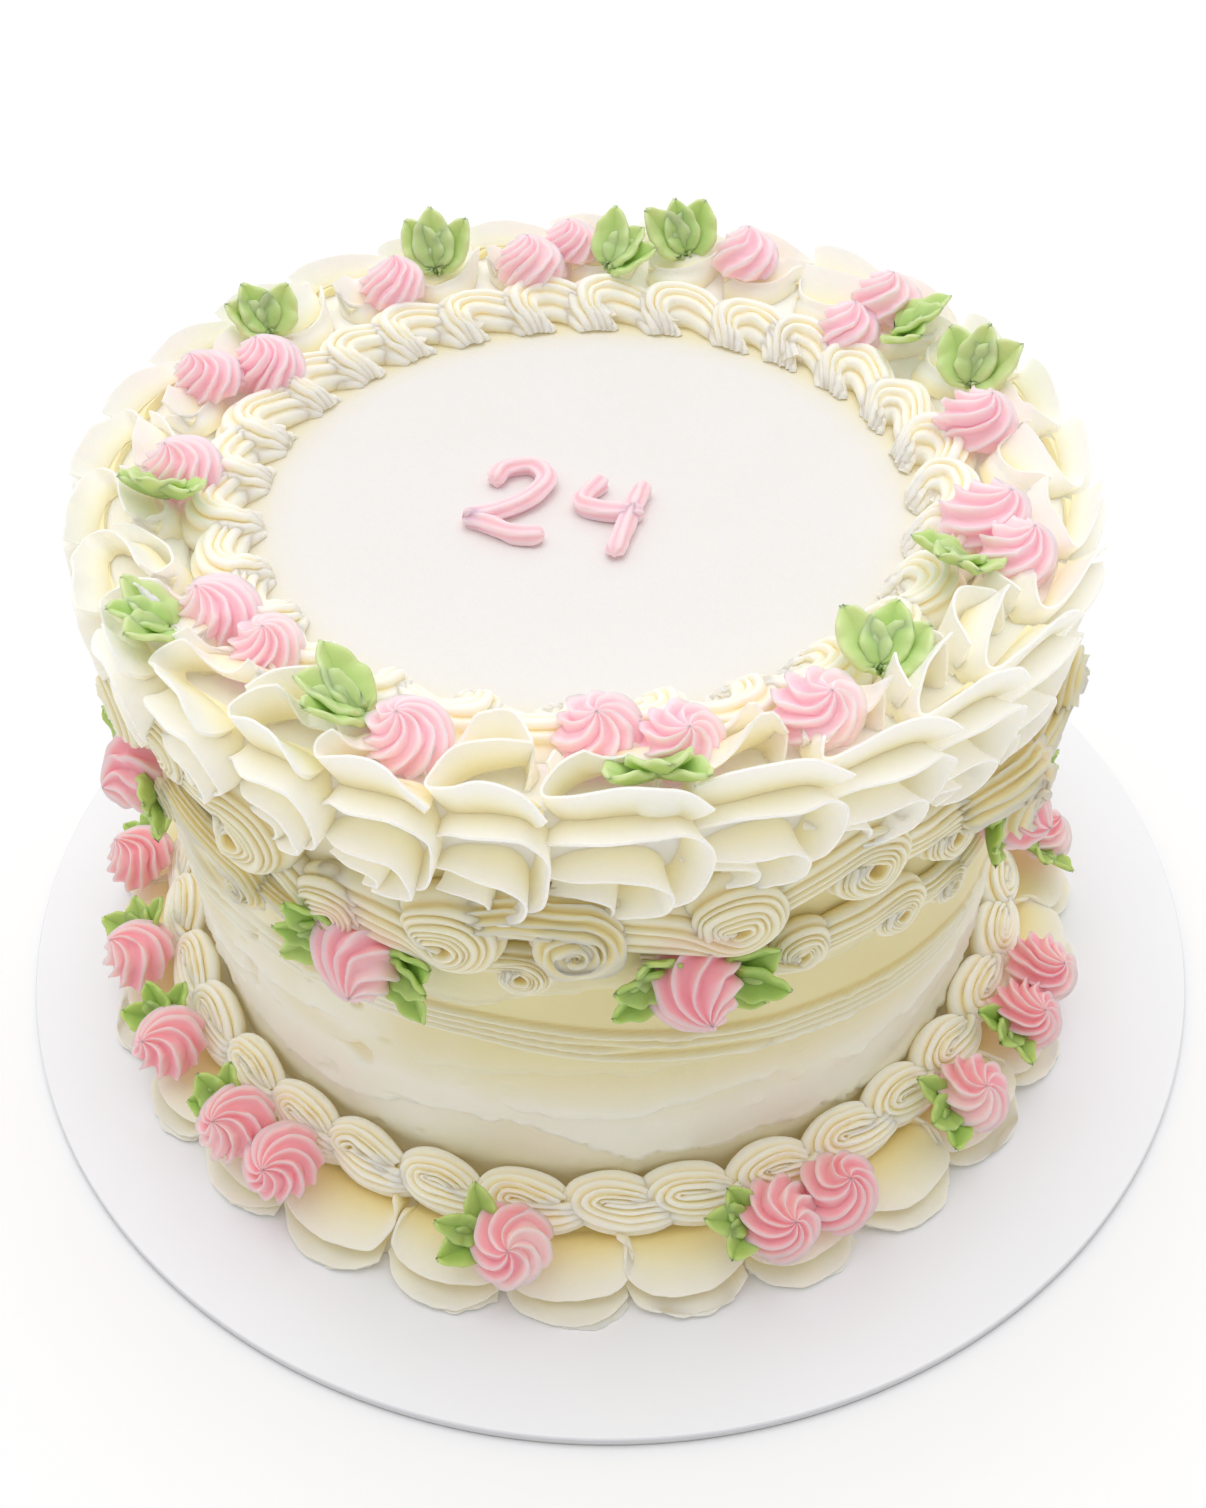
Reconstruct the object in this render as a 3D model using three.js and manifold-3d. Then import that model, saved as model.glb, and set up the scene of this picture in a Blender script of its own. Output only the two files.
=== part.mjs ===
// A round birthday cake on a flat white cake board, in millimetres, +Z up, with the origin at the middle of
// the board's underside. The cake is one iced cylinder. Cream borders are piped round it: star-tip shells and
// a folded petal-tip ruffle on the top edge, two rows of scrolls below the ruffle, and shells with a scalloped
// ruffle round the foot. Pink rosettes with green leaves sit on the borders, and a piped 2 and 4 on the top.
import * as THREE from "three";
import { mergeVertices } from "three/addons/utils/BufferGeometryUtils.js";
import Module from "manifold-3d";

const wasm = await Module();
wasm.setup();

// Driving dimensions. Angles are degrees round the cake, 0 at +X and -90 at the front. Stations are the places
// along one repeated unit, from 0 to 1, where its section is drawn.
const GAP = 0.3; // clear space between two pieces that touch
const BOARD = { radius: 152.4, thickness: 3, segments: 48 };
const CAKE = { x: -4.4, radius: 100.5, top: 129, edge: 2, segments: 48 };
const WALL = CAKE.radius + GAP;
const TABLE = BOARD.thickness + GAP;
const TOP = CAKE.top + GAP;

const SHELL_HEAD = 0.3; // where a piped shell is fullest along its length
const TOP_SHELLS = {
  count: 28,
  start: -4,
  stations: [0.05, 0.32, 0.66],
  radius: 78.6,
  sway: 1.1,
  halfWidth: 7,
  height: 13.5,
  least: 0.62, // how full the ends are
  crest: 1.04,
  groove: 0.93,
};
const BASE_SHELLS = {
  count: 36,
  start: -94,
  stations: [0.05, 0.4],
  depth: 11,
  height: 16.5,
  least: 0.75,
  foot: 0.88,
};

// The ruffle is a ribbon laid in a Z: each fold's edge runs out and down to the right, back to the left under
// that, and to the right again. The section's corners go up from the lowest edge on the wall to the collar: each
// one's distance from the axis and height where a fold starts, how far it runs out and up along the fold, and
// its share of the swag.
const RUFFLE = {
  folds: 27,
  start: -95,
  stations: [0.06, 0.94],
  inner: 87.3,
  bed: [4.5, 7],
  foot: 122,
  swagPeriod: 72,
  swagLow: -97,
  swag: 3,
  rise: 2,
  lowEdge: [111, 125, -1, 2, 1],
  lowFold: [105.5, 129.5, 0, 0, 1],
  middleEdge: [113, 135, 1, -3, 0.6],
  middleFold: [107.5, 135, 0, 0, 0.6],
  shelfEdge: [113, 138, -2, 3, 0.3],
  shelfFold: [105, 137.5, 2, 0, 0],
  collar: [99, 149, 7, -5, 0],
};
// At the sides and the back the ruffle has settled: past this many degrees from the front, its folds beyond a
// radius are drawn in by a share, and what is above a height is lower by a share.
const SETTLED = { from: 40, full: 80, radius: 104, in: 0.35, height: 136, down: 0.45 };
const BASE_RUFFLE = {
  scallops: 28,
  start: -99.5,
  stations: [0.04, 0.35, 0.7],
  inner: 112.6,
  radius: 128.5,
  notch: 4.5,
  roundness: 0.6,
  lip: 2,
  fold: { in: 5.5, up: 5 },
  shelf: { in: 2.6, up: 10, lean: 2, fall: 1.5 },
  height: 14,
};

// The scrolls on the wall: a full round head at the end of each ridged rope.
const GARLAND = {
  scrolls: 24,
  start: -98.5,
  stations: [0.1, 0.4, 0.7],
  height: 111,
  highAt: -112,
  rise: 1.5,
  headHalf: 8.5,
  headDepth: 8,
  ropeHalf: 5.5,
  ropeDepth: 4.5,
  underRuffle: 0.8,
};
const LOWER_GARLAND = {
  height: 92.5,
  half: 5.5,
  depth: 4.5,
  thin: 0.1,
  leastHalf: 0.5,
  behind: 10.5,
  heads: [[0.22, 1], [0.48, 0.6], [0.74, 0.95]],
};
const SCROLL_GROOVE = 0.86;

const ROSETTE = {
  ridges: 5,
  groove: 0.8,
  rise: 1.15,
  turn: 55,
  foot: { reach: 0.88, up: 0, turned: 0 },
  shoulder: { reach: 1, up: 0.36, turned: 0.4 },
  waist: { reach: 0.52, up: 0.82, turned: 1 },
};
const ROSETTE_SIZE = { top: 9.6, side: 9.8, base: 9 };
const LEAF = { length: 14, width: 9, thickness: 1.3, fold: 2.2, curl: 3, splay: 34 };
const TOP_SEAT = { height: 134.5, tilt: 12, flat: 84, lift: 0.28 };
const TOP_LEAF = { up: 3.5, tilt: -6, back: 0.4, slope: 16 };
const SIDE_SEAT = { reach: 1.4, height: 92, tilt: 86, leafTurns: [-100, 80], leafUp: 0.6, leafLength: 13 };
const BASE_SEAT = { radius: 117.5, height: 17, tilt: 30, leafTurns: [-85], leafUp: 1, leafLength: 12 };
const DIGITS = { width: 4.2, height: 4.6, sides: 6 };

// Where the flowers are: each rosette and leaf pair is [angle, distance from the cake's axis], and a leaf pair
// also has the direction it points in, counted from straight outward, and how steeply it rises where that isn't
// the usual slope.
const TOP_FLOWERS = [
  { rosettes: [[-109.5, 91.5]], leaf: [-119, 92, -60] },
  { rosettes: [[-88.5, 84], [-79.5, 88.5]], leaf: [-83, 101, 0] },
  { rosettes: [[-63, 89.5]], leaf: [-50, 86, 120] },
  { rosettes: [[-15.5, 83.5], [-23.5, 91.5]], leaf: [-31, 83, -110] },
  { rosettes: [[8.5, 86]], leaf: [19, 96, 30, 36] },
  { rosettes: [[41, 83], [40.5, 95]], leaf: [31, 91, -60] },
  { rosettes: [[64.5, 94]], leaf: [76, 99, 30, 34] },
  { rosettes: [[99, 87], [92, 94]], leaf: [83, 88, -50] },
  { rosettes: [[122.5, 89]], leaf: [113, 97, -20, 36] },
  { rosettes: [[151.5, 83], [159, 91]], leaf: [144, 98, -10, 34] },
  { rosettes: [[181.5, 85]], leaf: [191, 89, 70] },
  { rosettes: [[-144.5, 85], [-134.5, 85]], leaf: [-145, 101, -20] },
];
const SIDE_ANGLES = [-154, -114, -79, -34, 6, 46, 86, 126, 166];
const PAIR = 3.6; // half the angle between the two rosettes of a pair at the foot
const pairAt = (angle) => [angle - PAIR, angle + PAIR];
const BASE_FLOWERS = [
  [-98.5],
  pairAt(-67),
  [-43],
  pairAt(-26),
  [0],
  pairAt(28),
  [56],
  pairAt(84),
  [112],
  pairAt(140),
  [163],
  [183],
  [-161],
  [-147],
  pairAt(-129),
];

const rad = THREE.MathUtils.degToRad;

function polar(radius, angle, height) {
  return new THREE.Vector3(
    CAKE.x + radius * Math.cos(rad(angle)),
    radius * Math.sin(rad(angle)),
    height,
  );
}

// The same small unevenness for the same piece each time, from -1 to 1.
function uneven(index, salt) {
  const wave = Math.sin(index * 12.9898 + salt * 78.233) * 43758.5453;
  return 2 * (wave - Math.floor(wave)) - 1;
}

// Solids for cutting and joining, and back to geometry.
function solidOf(geometry, matrix = new THREE.Matrix4()) {
  const bare = new THREE.BufferGeometry();
  bare.setAttribute("position", geometry.getAttribute("position").clone());
  bare.setIndex(geometry.index);
  const merged = mergeVertices(bare.applyMatrix4(matrix), 1e-4);
  const mesh = new wasm.Mesh({
    numProp: 3,
    vertProperties: new Float32Array(merged.attributes.position.array),
    triVerts: new Uint32Array(merged.index.array),
  });
  return new wasm.Manifold(mesh);
}

function geometryOf(solid) {
  const mesh = solid.getMesh();
  return new THREE.BufferGeometry()
    .setAttribute("position", new THREE.BufferAttribute(new Float32Array(mesh.vertProperties), 3))
    .setIndex(new THREE.BufferAttribute(new Uint32Array(mesh.triVerts), 1));
}

function largestPiece(solid) {
  const pieces = solid.decompose();
  return pieces.reduce((best, piece) => (piece.volume() > best.volume() ? piece : best));
}

function indexed(points, triangles) {
  return new THREE.BufferGeometry()
    .setAttribute("position", new THREE.Float32BufferAttribute(points.flatMap((p) => p.toArray()), 3))
    .setIndex(triangles);
}

// A closed ring of repeated units. section(unit, phase, angle) gives the corners of the ring's section there
// as [radius, height], anticlockwise.
function ringGeometry(units, start, phases, section) {
  const loops = [];
  for (let unit = 0; unit < units; unit++) {
    for (const phase of phases) {
      const angle = start + ((unit + phase) * 360) / units;
      loops.push(section(unit, phase, angle).map(([r, z]) => polar(r, angle, z)));
    }
  }
  return joinLoops(loops);
}

function joinLoops(loops) {
  const corners = loops[0].length;
  const triangles = [];
  for (let j = 0; j < loops.length; j++) {
    const next = (j + 1) % loops.length;
    for (let k = 0; k < corners; k++) {
      const a = j * corners + k;
      const b = j * corners + ((k + 1) % corners);
      const c = next * corners + ((k + 1) % corners);
      const d = next * corners + k;
      triangles.push(a, d, b, b, d, c);
    }
  }
  return indexed(loops.flat(), triangles);
}

function latheGeometry(profile, segments) {
  const points = profile.map(([r, z]) => new THREE.Vector2(r, z));
  return new THREE.LatheGeometry(points, segments).rotateX(Math.PI / 2);
}

function boardGeometry() {
  const { radius, thickness, segments } = BOARD;
  const profile = [
    [0, 0],
    [radius, 0],
    [radius, thickness],
    [0, thickness],
  ];
  return latheGeometry(profile, segments);
}

function cakeGeometry() {
  const { radius, top, edge, segments } = CAKE;
  const profile = [
    [0, TABLE],
    [radius, TABLE],
    [radius, top - edge],
    [radius - edge, top],
    [0, top],
  ];
  return latheGeometry(profile, segments).translate(CAKE.x, 0, 0);
}

// How full a piped shell is along its length, from 0 at its ends to 1: a round head, then a long tail.
function shellFill(phase) {
  return phase < SHELL_HEAD ? phase / SHELL_HEAD : (1 - phase) / (1 - SHELL_HEAD);
}

function topShells() {
  const { count, start, stations, radius, halfWidth, height, sway, least, crest, groove } = TOP_SHELLS;
  const corners = 5;
  return ringGeometry(count, start, stations, (unit, phase) => {
    const swell = (least + (1 - least) * shellFill(phase)) * (1 + 0.04 * uneven(unit, 1));
    const middle = radius - sway * Math.cos(2 * Math.PI * (phase - SHELL_HEAD));
    return Array.from({ length: corners }, (_, k) => {
      const t = (Math.PI * k) / (corners - 1);
      const ridge = k % 2 ? crest : groove;
      const z = TOP + height * swell * ridge * Math.sin(t);
      return [middle + halfWidth * swell * Math.cos(t), z];
    });
  });
}

// How far the ruffle's lower folds hang down at an angle, in broad swags.
function swagDrop(angle) {
  return RUFFLE.rise + RUFFLE.swag * Math.cos((2 * Math.PI * (angle - RUFFLE.swagLow)) / RUFFLE.swagPeriod);
}

function settle([r, z], angle) {
  const fromFront = Math.abs(((angle + 270) % 360) - 180);
  const share = THREE.MathUtils.smoothstep(fromFront, SETTLED.from, SETTLED.full);
  const out = Math.max(0, r - SETTLED.radius);
  const up = Math.max(0, z - SETTLED.height);
  return [r - SETTLED.in * share * out, z - SETTLED.down * share * up];
}

function topRuffle() {
  const { folds, start, stations, inner, bed, foot } = RUFFLE;
  const clear = WALL / Math.cos(rad((180 * (stations[1] - stations[0])) / folds));
  return ringGeometry(folds, start, stations, (unit, phase, angle) => {
    const drop = swagDrop(angle);
    const loose = uneven(unit, 2);
    const corner = ([out, up, runOut, runUp, share], wider = 0, higher = 0) =>
      settle([out + runOut * phase + wider, up + runUp * phase - share * drop + higher], angle);
    return [
      [inner, TOP],
      [clear, TOP],
      [clear, foot - drop],
      corner(RUFFLE.lowEdge),
      corner(RUFFLE.lowFold),
      corner(RUFFLE.middleEdge, 0.6 * loose),
      corner(RUFFLE.middleFold),
      corner(RUFFLE.shelfEdge),
      corner(RUFFLE.shelfFold),
      corner(RUFFLE.collar, 0, loose),
      [inner + bed[0], TOP + bed[1]],
    ];
  });
}

// The section of a row of scrolls: a ridged arch that stands on the wall, with its foot at a distance base from
// the axis.
function wallArch(base, middle, half, depth, ceiling) {
  const corners = 5;
  return Array.from({ length: corners }, (_, k) => {
    const t = Math.PI * (k / (corners - 1) - 0.5);
    const ridge = k % 2 ? 1 : SCROLL_GROOVE;
    const z = Math.min(middle + half * Math.sin(t), ceiling);
    return [base + (k % (corners - 1) ? depth * ridge * Math.cos(t) : 0), z];
  });
}

function upperGarland() {
  const { scrolls, start, stations, height, highAt, rise } = GARLAND;
  const { headHalf, headDepth, ropeHalf, ropeDepth, underRuffle } = GARLAND;
  const from = stations[0];
  return ringGeometry(scrolls, start, stations, (unit, phase, angle) => {
    const head = Math.sin((Math.PI * (phase - from)) / (1 - 2 * from));
    const half = ropeHalf + (headHalf - ropeHalf) * head;
    const depth = ropeDepth + (headDepth + uneven(unit, 3) - ropeDepth) * head;
    const wave = Math.cos((2 * Math.PI * (angle - highAt)) / RUFFLE.swagPeriod);
    const middle = height - RUFFLE.swag * wave + rise * (1 - head);
    return wallArch(WALL, middle, half, depth, RUFFLE.foot - swagDrop(angle) - underRuffle);
  });
}

// The lower row has its scrolls between one side flower and the next, and runs thin behind the flowers.
function lowerGarland() {
  const { height, half, depth, thin, leastHalf, behind, heads } = LOWER_GARLAND;
  const clear = WALL / Math.cos(rad(behind / 2));
  const loops = [];
  SIDE_ANGLES.forEach((from, index) => {
    const to = SIDE_ANGLES[index + 1] ?? SIDE_ANGLES[0] + 360;
    const stations = [[from, thin], [from + behind, thin]];
    const room = to - from - 2 * behind;
    heads.forEach(([along, size]) => stations.push([from + behind + along * room, size]));
    stations.push([to - behind, thin]);
    for (const [angle, size] of stations) {
      const section = wallArch(clear, height, half * Math.max(size, leastHalf), depth * size, Infinity);
      loops.push(section.map(([r, z]) => polar(r, angle, z)));
    }
  });
  return joinLoops(loops);
}

function baseShells() {
  const { count, start, stations, depth, height, least, foot } = BASE_SHELLS;
  return ringGeometry(count, start, stations, (unit, phase) => {
    const swell = (least + (1 - least) * shellFill(phase)) * (1 + 0.03 * uneven(unit, 5));
    const reach = depth * Math.min(swell, 1);
    return [
      [WALL, TABLE],
      [WALL + reach, TABLE],
      [WALL + reach, TABLE + 0.5 * height * swell],
      [WALL + 0.5 * reach, TABLE + height * swell],
      [WALL, TABLE + foot * height * swell],
    ];
  });
}

// The foot's ruffle: two layers of rounded scallops lying on the board.
function baseRuffle() {
  const { scallops, start, stations, inner, radius, notch, roundness, lip, fold, shelf, height } = BASE_RUFFLE;
  return ringGeometry(scallops, start, stations, (unit, phase) => {
    const bulge = Math.sin(Math.PI * phase) ** roundness;
    const out = radius - notch * (1 - bulge) + 0.8 * uneven(unit, 6);
    return [
      [inner, TABLE],
      [out, TABLE],
      [out, TABLE + lip],
      [out - fold.in, TABLE + fold.up],
      [out - shelf.in - shelf.lean * phase, TABLE + shelf.up - shelf.fall * phase],
      [inner, TABLE + height],
    ];
  });
}

// A rosette: a low dome of ridges that turn in to its middle. Its foot is at z = 0.
function rosetteGeometry(radius) {
  const { ridges, groove, rise, turn, foot: base, shoulder, waist } = ROSETTE;
  const height = rise * radius;
  const points = [new THREE.Vector3(0, 0, 0)];
  const ring = (count, { reach, up, turned }, deep) => {
    for (let k = 0; k < count; k++) {
      const angle = rad((360 * k) / count + turn * turned);
      const r = radius * reach * (k % 2 ? deep : 1);
      points.push(new THREE.Vector3(r * Math.cos(angle), r * Math.sin(angle), up * height));
    }
  };
  const teeth = 2 * ridges;
  ring(teeth, base, groove);
  ring(teeth, shoulder, groove);
  ring(ridges, waist, 1);
  points.push(new THREE.Vector3(0, 0, height));
  const foot = 1;
  const middle = foot + teeth;
  const upper = middle + teeth;
  const tip = upper + ridges;
  const triangles = [];
  for (let k = 0; k < teeth; k++) {
    const n = (k + 1) % teeth;
    triangles.push(0, foot + n, foot + k);
    triangles.push(foot + k, foot + n, middle + k, foot + n, middle + n, middle + k);
  }
  for (let k = 0; k < ridges; k++) {
    const n = (k + 1) % ridges;
    const [a, b, c] = [2 * k, 2 * k + 1, (2 * k + 2) % teeth];
    triangles.push(middle + a, middle + b, upper + k);
    triangles.push(middle + b, middle + c, upper + n);
    triangles.push(middle + b, upper + n, upper + k);
    triangles.push(upper + k, upper + n, tip);
  }
  return indexed(points, triangles);
}

// The spaces that a rosette and a spray of leaves need, a little wider than they are and open upwards, to be
// cut out of what they sit in. A spray's space is a wedge from its stem.
const OPEN_HEIGHT = 25;

function rosetteSpace(radius) {
  const sides = 8;
  const clear = (radius + GAP) / Math.cos(Math.PI / sides);
  return latheGeometry([[0, -GAP], [clear, -GAP], [clear + 5, OPEN_HEIGHT], [0, OPEN_HEIGHT]], sides);
}

function spraySpace(length, width, splay) {
  const reach = length + GAP;
  const side = width / 2 + 2 * GAP;
  const [along, across] = [Math.cos(rad(splay)), Math.sin(rad(splay))];
  const stemHalf = 1.15 * side;
  const outline = new THREE.Shape([
    new THREE.Vector2(-2 * GAP, -stemHalf),
    new THREE.Vector2(reach * along, -reach * across - side * along),
    new THREE.Vector2(reach * along + side * across, 0),
    new THREE.Vector2(reach * along, reach * across + side * along),
    new THREE.Vector2(-2 * GAP, stemHalf),
  ]);
  const depth = OPEN_HEIGHT;
  return new THREE.ExtrudeGeometry(outline, { depth, bevelEnabled: false }).translate(0, 0, -GAP);
}

// A leaf from its stem at the origin along +X: folded along its middle, tip turned up. Both faces are split
// into triangles alike.
function leafGeometry(length, width) {
  const { thickness, fold, curl } = LEAF;
  const rows = [
    [0, 0, 0],
    [0.38, 0.5, 0.1],
    [0.72, 0.36, 0.45],
    [1, 0, 1],
  ];
  const lower = [];
  for (const [along, half, lift] of rows) {
    const x = along * length;
    const y = half * width;
    const z = curl * lift;
    if (half === 0) lower.push(new THREE.Vector3(x, 0, z));
    else {
      lower.push(new THREE.Vector3(x, -y, z + fold));
      lower.push(new THREE.Vector3(x, 0, z));
      lower.push(new THREE.Vector3(x, y, z + 0.8 * fold));
    }
  }
  const upper = lower.map((p) => p.clone().setZ(p.z + thickness));
  const face = [
    [0, 2, 1],
    [0, 3, 2],
    [1, 2, 4],
    [2, 5, 4],
    [2, 3, 5],
    [3, 6, 5],
    [4, 5, 7],
    [5, 6, 7],
  ];
  const rim = [0, 1, 4, 7, 6, 3];
  const triangles = [];
  for (const [a, b, c] of face) triangles.push(a, b, c, a + 8, c + 8, b + 8);
  rim.forEach((a, i) => {
    const b = rim[(i + 1) % rim.length];
    triangles.push(a, b, b + 8, a, b + 8, a + 8);
  });
  return indexed([...lower, ...upper], triangles);
}

// The place of a piece that sits on the cake: its foot at a point, its own +Z leaning outward by a tilt.
function seat(radius, angle, height, tilt, turn = 0) {
  return new THREE.Matrix4()
    .makeTranslation(polar(radius, angle, height))
    .multiply(new THREE.Matrix4().makeRotationZ(rad(angle)))
    .multiply(new THREE.Matrix4().makeRotationY(rad(tilt)))
    .multiply(new THREE.Matrix4().makeRotationZ(rad(turn)));
}

function unite(solids) {
  return solids.reduce((whole, piece) => whole.add(piece));
}

// The digits are piped strokes: a flat rope along a curve through a few points on the cake's top.
function strokeSolid(points, steps) {
  const { width, height, sides } = DIGITS;
  const section = new THREE.Shape();
  for (let k = 0; k < sides; k++) {
    const t = (2 * Math.PI * (k + 0.5)) / sides;
    const corner = [(height / 2) * Math.cos(t), (width / 2) * Math.sin(t)];
    if (k === 0) section.moveTo(...corner);
    else section.lineTo(...corner);
  }
  const lift = TOP + (height / 2) * Math.cos(Math.PI / sides) + 0.05;
  const path = new THREE.CatmullRomCurve3(points.map(([x, y]) => new THREE.Vector3(x, y, lift)));
  return solidOf(new THREE.ExtrudeGeometry(section, { steps, bevelEnabled: false, extrudePath: path }));
}

function digitTwo() {
  const bow = [
    [-24.5, 2.5],
    [-22, 7.5],
    [-16, 8.5],
    [-12.8, 3],
    [-16.5, -4],
    [-23, -8.5],
    [-30.5, -11],
  ];
  const foot = [
    [-30.2, -10],
    [-26, -12.2],
    [-19.5, -16.2],
    [-13, -17],
  ];
  return strokeSolid(bow, 10).add(strokeSolid(foot, 3));
}

function digitFour() {
  const arm = [
    [-0.6, 3],
    [-5.2, -5.5],
    [1, -9],
    [8, -9.8],
  ];
  const stem = [
    [8.6, 0.8],
    [5.6, -8],
    [1.2, -24],
  ];
  return strokeSolid(arm, 6).add(strokeSolid(stem, 3));
}

const MATERIALS = {
  board: new THREE.MeshStandardMaterial({ color: 0xf1f1f3, roughness: 0.4, metalness: 0 }),
  icing: new THREE.MeshStandardMaterial({ color: 0xf7f2e6, roughness: 0.55, metalness: 0 }),
  cream: new THREE.MeshStandardMaterial({ color: 0xf3ecd2, roughness: 0.5, metalness: 0 }),
  pink: new THREE.MeshStandardMaterial({ color: 0xf4a6b8, roughness: 0.5, metalness: 0 }),
  green: new THREE.MeshStandardMaterial({ color: 0xa9cf7f, roughness: 0.5, metalness: 0 }),
};

const cake = new THREE.Group();

function place(name, geometry, material, matrix = new THREE.Matrix4()) {
  const mesh = new THREE.Mesh(geometry, material);
  mesh.name = name;
  mesh.applyMatrix4(matrix);
  cake.add(mesh);
}

const topSpaces = []; // what the flowers on top take out of the borders under them
const number = (index) => String(index + 1).padStart(2, "0");

function rosetteSeat(radius, angle) {
  const height = TOP_SEAT.height + TOP_SEAT.lift * Math.max(0, radius - TOP_SEAT.flat);
  return seat(radius, angle, height, TOP_SEAT.tilt);
}

// A pair of leaves that splay from one stem.
function leafPair(matrix, length, width) {
  return [-LEAF.splay, LEAF.splay].map((splay) => {
    const turned = matrix.clone().multiply(new THREE.Matrix4().makeRotationZ(rad(splay)));
    return solidOf(leafGeometry(length, width), turned);
  });
}

TOP_FLOWERS.forEach(({ rosettes, leaf }, index) => {
  const size = (k) => ROSETTE_SIZE.top * (1 + 0.05 * uneven(index, 10 + k));
  const seats = rosettes.map(([angle, radius]) => rosetteSeat(radius, angle));
  const room = unite(seats.map((matrix, k) => solidOf(rosetteSpace(size(k)), matrix)));
  topSpaces.push(room);
  if (rosettes.length === 1) {
    place(`top_rosette_${number(index)}`, rosetteGeometry(size(0)), MATERIALS.pink, seats[0]);
  } else {
    const pair = unite(seats.map((matrix, k) => solidOf(rosetteGeometry(size(k)), matrix)));
    place(`top_rosette_${number(index)}`, geometryOf(pair), MATERIALS.pink);
  }
  const [angle, radius, pointing, slope = TOP_LEAF.slope] = leaf;
  const stem = seat(radius, angle, TOP_SEAT.height + TOP_LEAF.up, TOP_LEAF.tilt, pointing);
  stem.multiply(new THREE.Matrix4().makeTranslation(-TOP_LEAF.back * LEAF.length, 0, 0));
  stem.multiply(new THREE.Matrix4().makeRotationY(rad(-slope)));
  const leaves = unite(leafPair(stem, LEAF.length, LEAF.width)).subtract(room);
  place(`top_leaf_${number(index)}`, geometryOf(largestPiece(leaves)), MATERIALS.green);
  topSpaces.push(solidOf(spraySpace(LEAF.length, LEAF.width, LEAF.splay), stem));
});

// A flower of one or two rosettes with its leaves, joined into one piece. Each leaf is placed from the first
// rosette: the direction it points in, and how high its stem is.
function flower(seats, size, { leafTurns, leafUp, leafLength }) {
  const rosettes = seats.map((matrix) => solidOf(rosetteGeometry(size), matrix));
  const leaves = leafTurns.map((turn) => {
    const stem = seats[0].clone().multiply(new THREE.Matrix4().makeRotationZ(rad(turn)));
    stem.multiply(new THREE.Matrix4().makeTranslation(0.6 * size, 0, leafUp));
    return solidOf(leafGeometry(leafLength, 0.6 * leafLength), stem);
  });
  return geometryOf(unite([...rosettes, ...leaves]));
}

SIDE_ANGLES.forEach((angle, index) => {
  const { reach, height, tilt } = SIDE_SEAT;
  const middle = seat(WALL + reach, angle, height, tilt);
  const solid = flower([middle], ROSETTE_SIZE.side, SIDE_SEAT);
  place(`side_flower_${number(index)}`, solid, MATERIALS.pink);
});

BASE_FLOWERS.forEach((angles, index) => {
  const { radius, height, tilt } = BASE_SEAT;
  const seats = angles.map((angle) => seat(radius, angle, height, tilt));
  const solid = flower(seats, ROSETTE_SIZE.base, BASE_SEAT);
  place(`base_flower_${number(index)}`, solid, MATERIALS.pink);
});

function cutBorder(geometry, space) {
  return geometryOf(largestPiece(solidOf(geometry).subtract(unite(space))));
}

place("cake_board", boardGeometry(), MATERIALS.board);
place("iced_cake", cakeGeometry(), MATERIALS.icing);
place("top_shell_border", cutBorder(topShells(), topSpaces), MATERIALS.cream);
place("top_ruffle", cutBorder(topRuffle(), topSpaces), MATERIALS.cream);
place("upper_scroll_garland", upperGarland(), MATERIALS.cream);
place("lower_scroll_garland", lowerGarland(), MATERIALS.cream);
place("base_shell_border", baseShells(), MATERIALS.cream);
place("base_ruffle", baseRuffle(), MATERIALS.cream);
place("digit_two", geometryOf(digitTwo()), MATERIALS.pink);
place("digit_four", geometryOf(digitFour()), MATERIALS.pink);

export default cake;
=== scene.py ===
# A round birthday cake on a white board: the looks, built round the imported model. Sizes are in millimetres
# until a mesh is made. Angles are degrees round the cake, 0 at +X and -90 at the front.
import math

import bpy
import numpy as np
from mathutils import Matrix, Vector


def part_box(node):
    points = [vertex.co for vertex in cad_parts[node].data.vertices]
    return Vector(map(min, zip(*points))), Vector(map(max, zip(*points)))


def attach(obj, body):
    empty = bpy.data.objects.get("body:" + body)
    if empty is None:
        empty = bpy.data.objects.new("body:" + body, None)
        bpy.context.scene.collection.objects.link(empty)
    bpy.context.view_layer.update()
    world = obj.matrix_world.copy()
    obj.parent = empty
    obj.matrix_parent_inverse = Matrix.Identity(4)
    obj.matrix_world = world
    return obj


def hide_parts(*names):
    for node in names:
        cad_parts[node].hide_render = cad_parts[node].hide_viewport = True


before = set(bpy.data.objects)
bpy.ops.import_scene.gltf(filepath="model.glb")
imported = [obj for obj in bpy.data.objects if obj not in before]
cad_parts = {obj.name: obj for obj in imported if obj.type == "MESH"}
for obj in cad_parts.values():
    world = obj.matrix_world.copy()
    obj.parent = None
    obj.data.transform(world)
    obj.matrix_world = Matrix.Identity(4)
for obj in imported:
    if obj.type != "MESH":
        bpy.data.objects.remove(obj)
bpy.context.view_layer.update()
MM = 0.001

# The cake's own sizes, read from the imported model.
low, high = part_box("iced_cake")
CAKE_X = (low.x + high.x) / 2 / MM
CAKE_R = (high.x - low.x) / 2 / MM
CAKE_TOP = high.z / MM
low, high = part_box("cake_board")
BOARD_R = (high.x - low.x) / 2 / MM
BOARD_TOP = high.z / MM

# The camera: a 36 mm frame on the long side, 283 mm before the board's middle and 326 mm above the table.
CAMERA = {"place": (-1.25, -282.84, 325.96), "pitch": 44.28, "roll": -0.63, "lens": 37.275}
SUN = {"toward": (-0.04, 0.12, 1.0), "spread": 50, "strength": 0.8}

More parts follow.
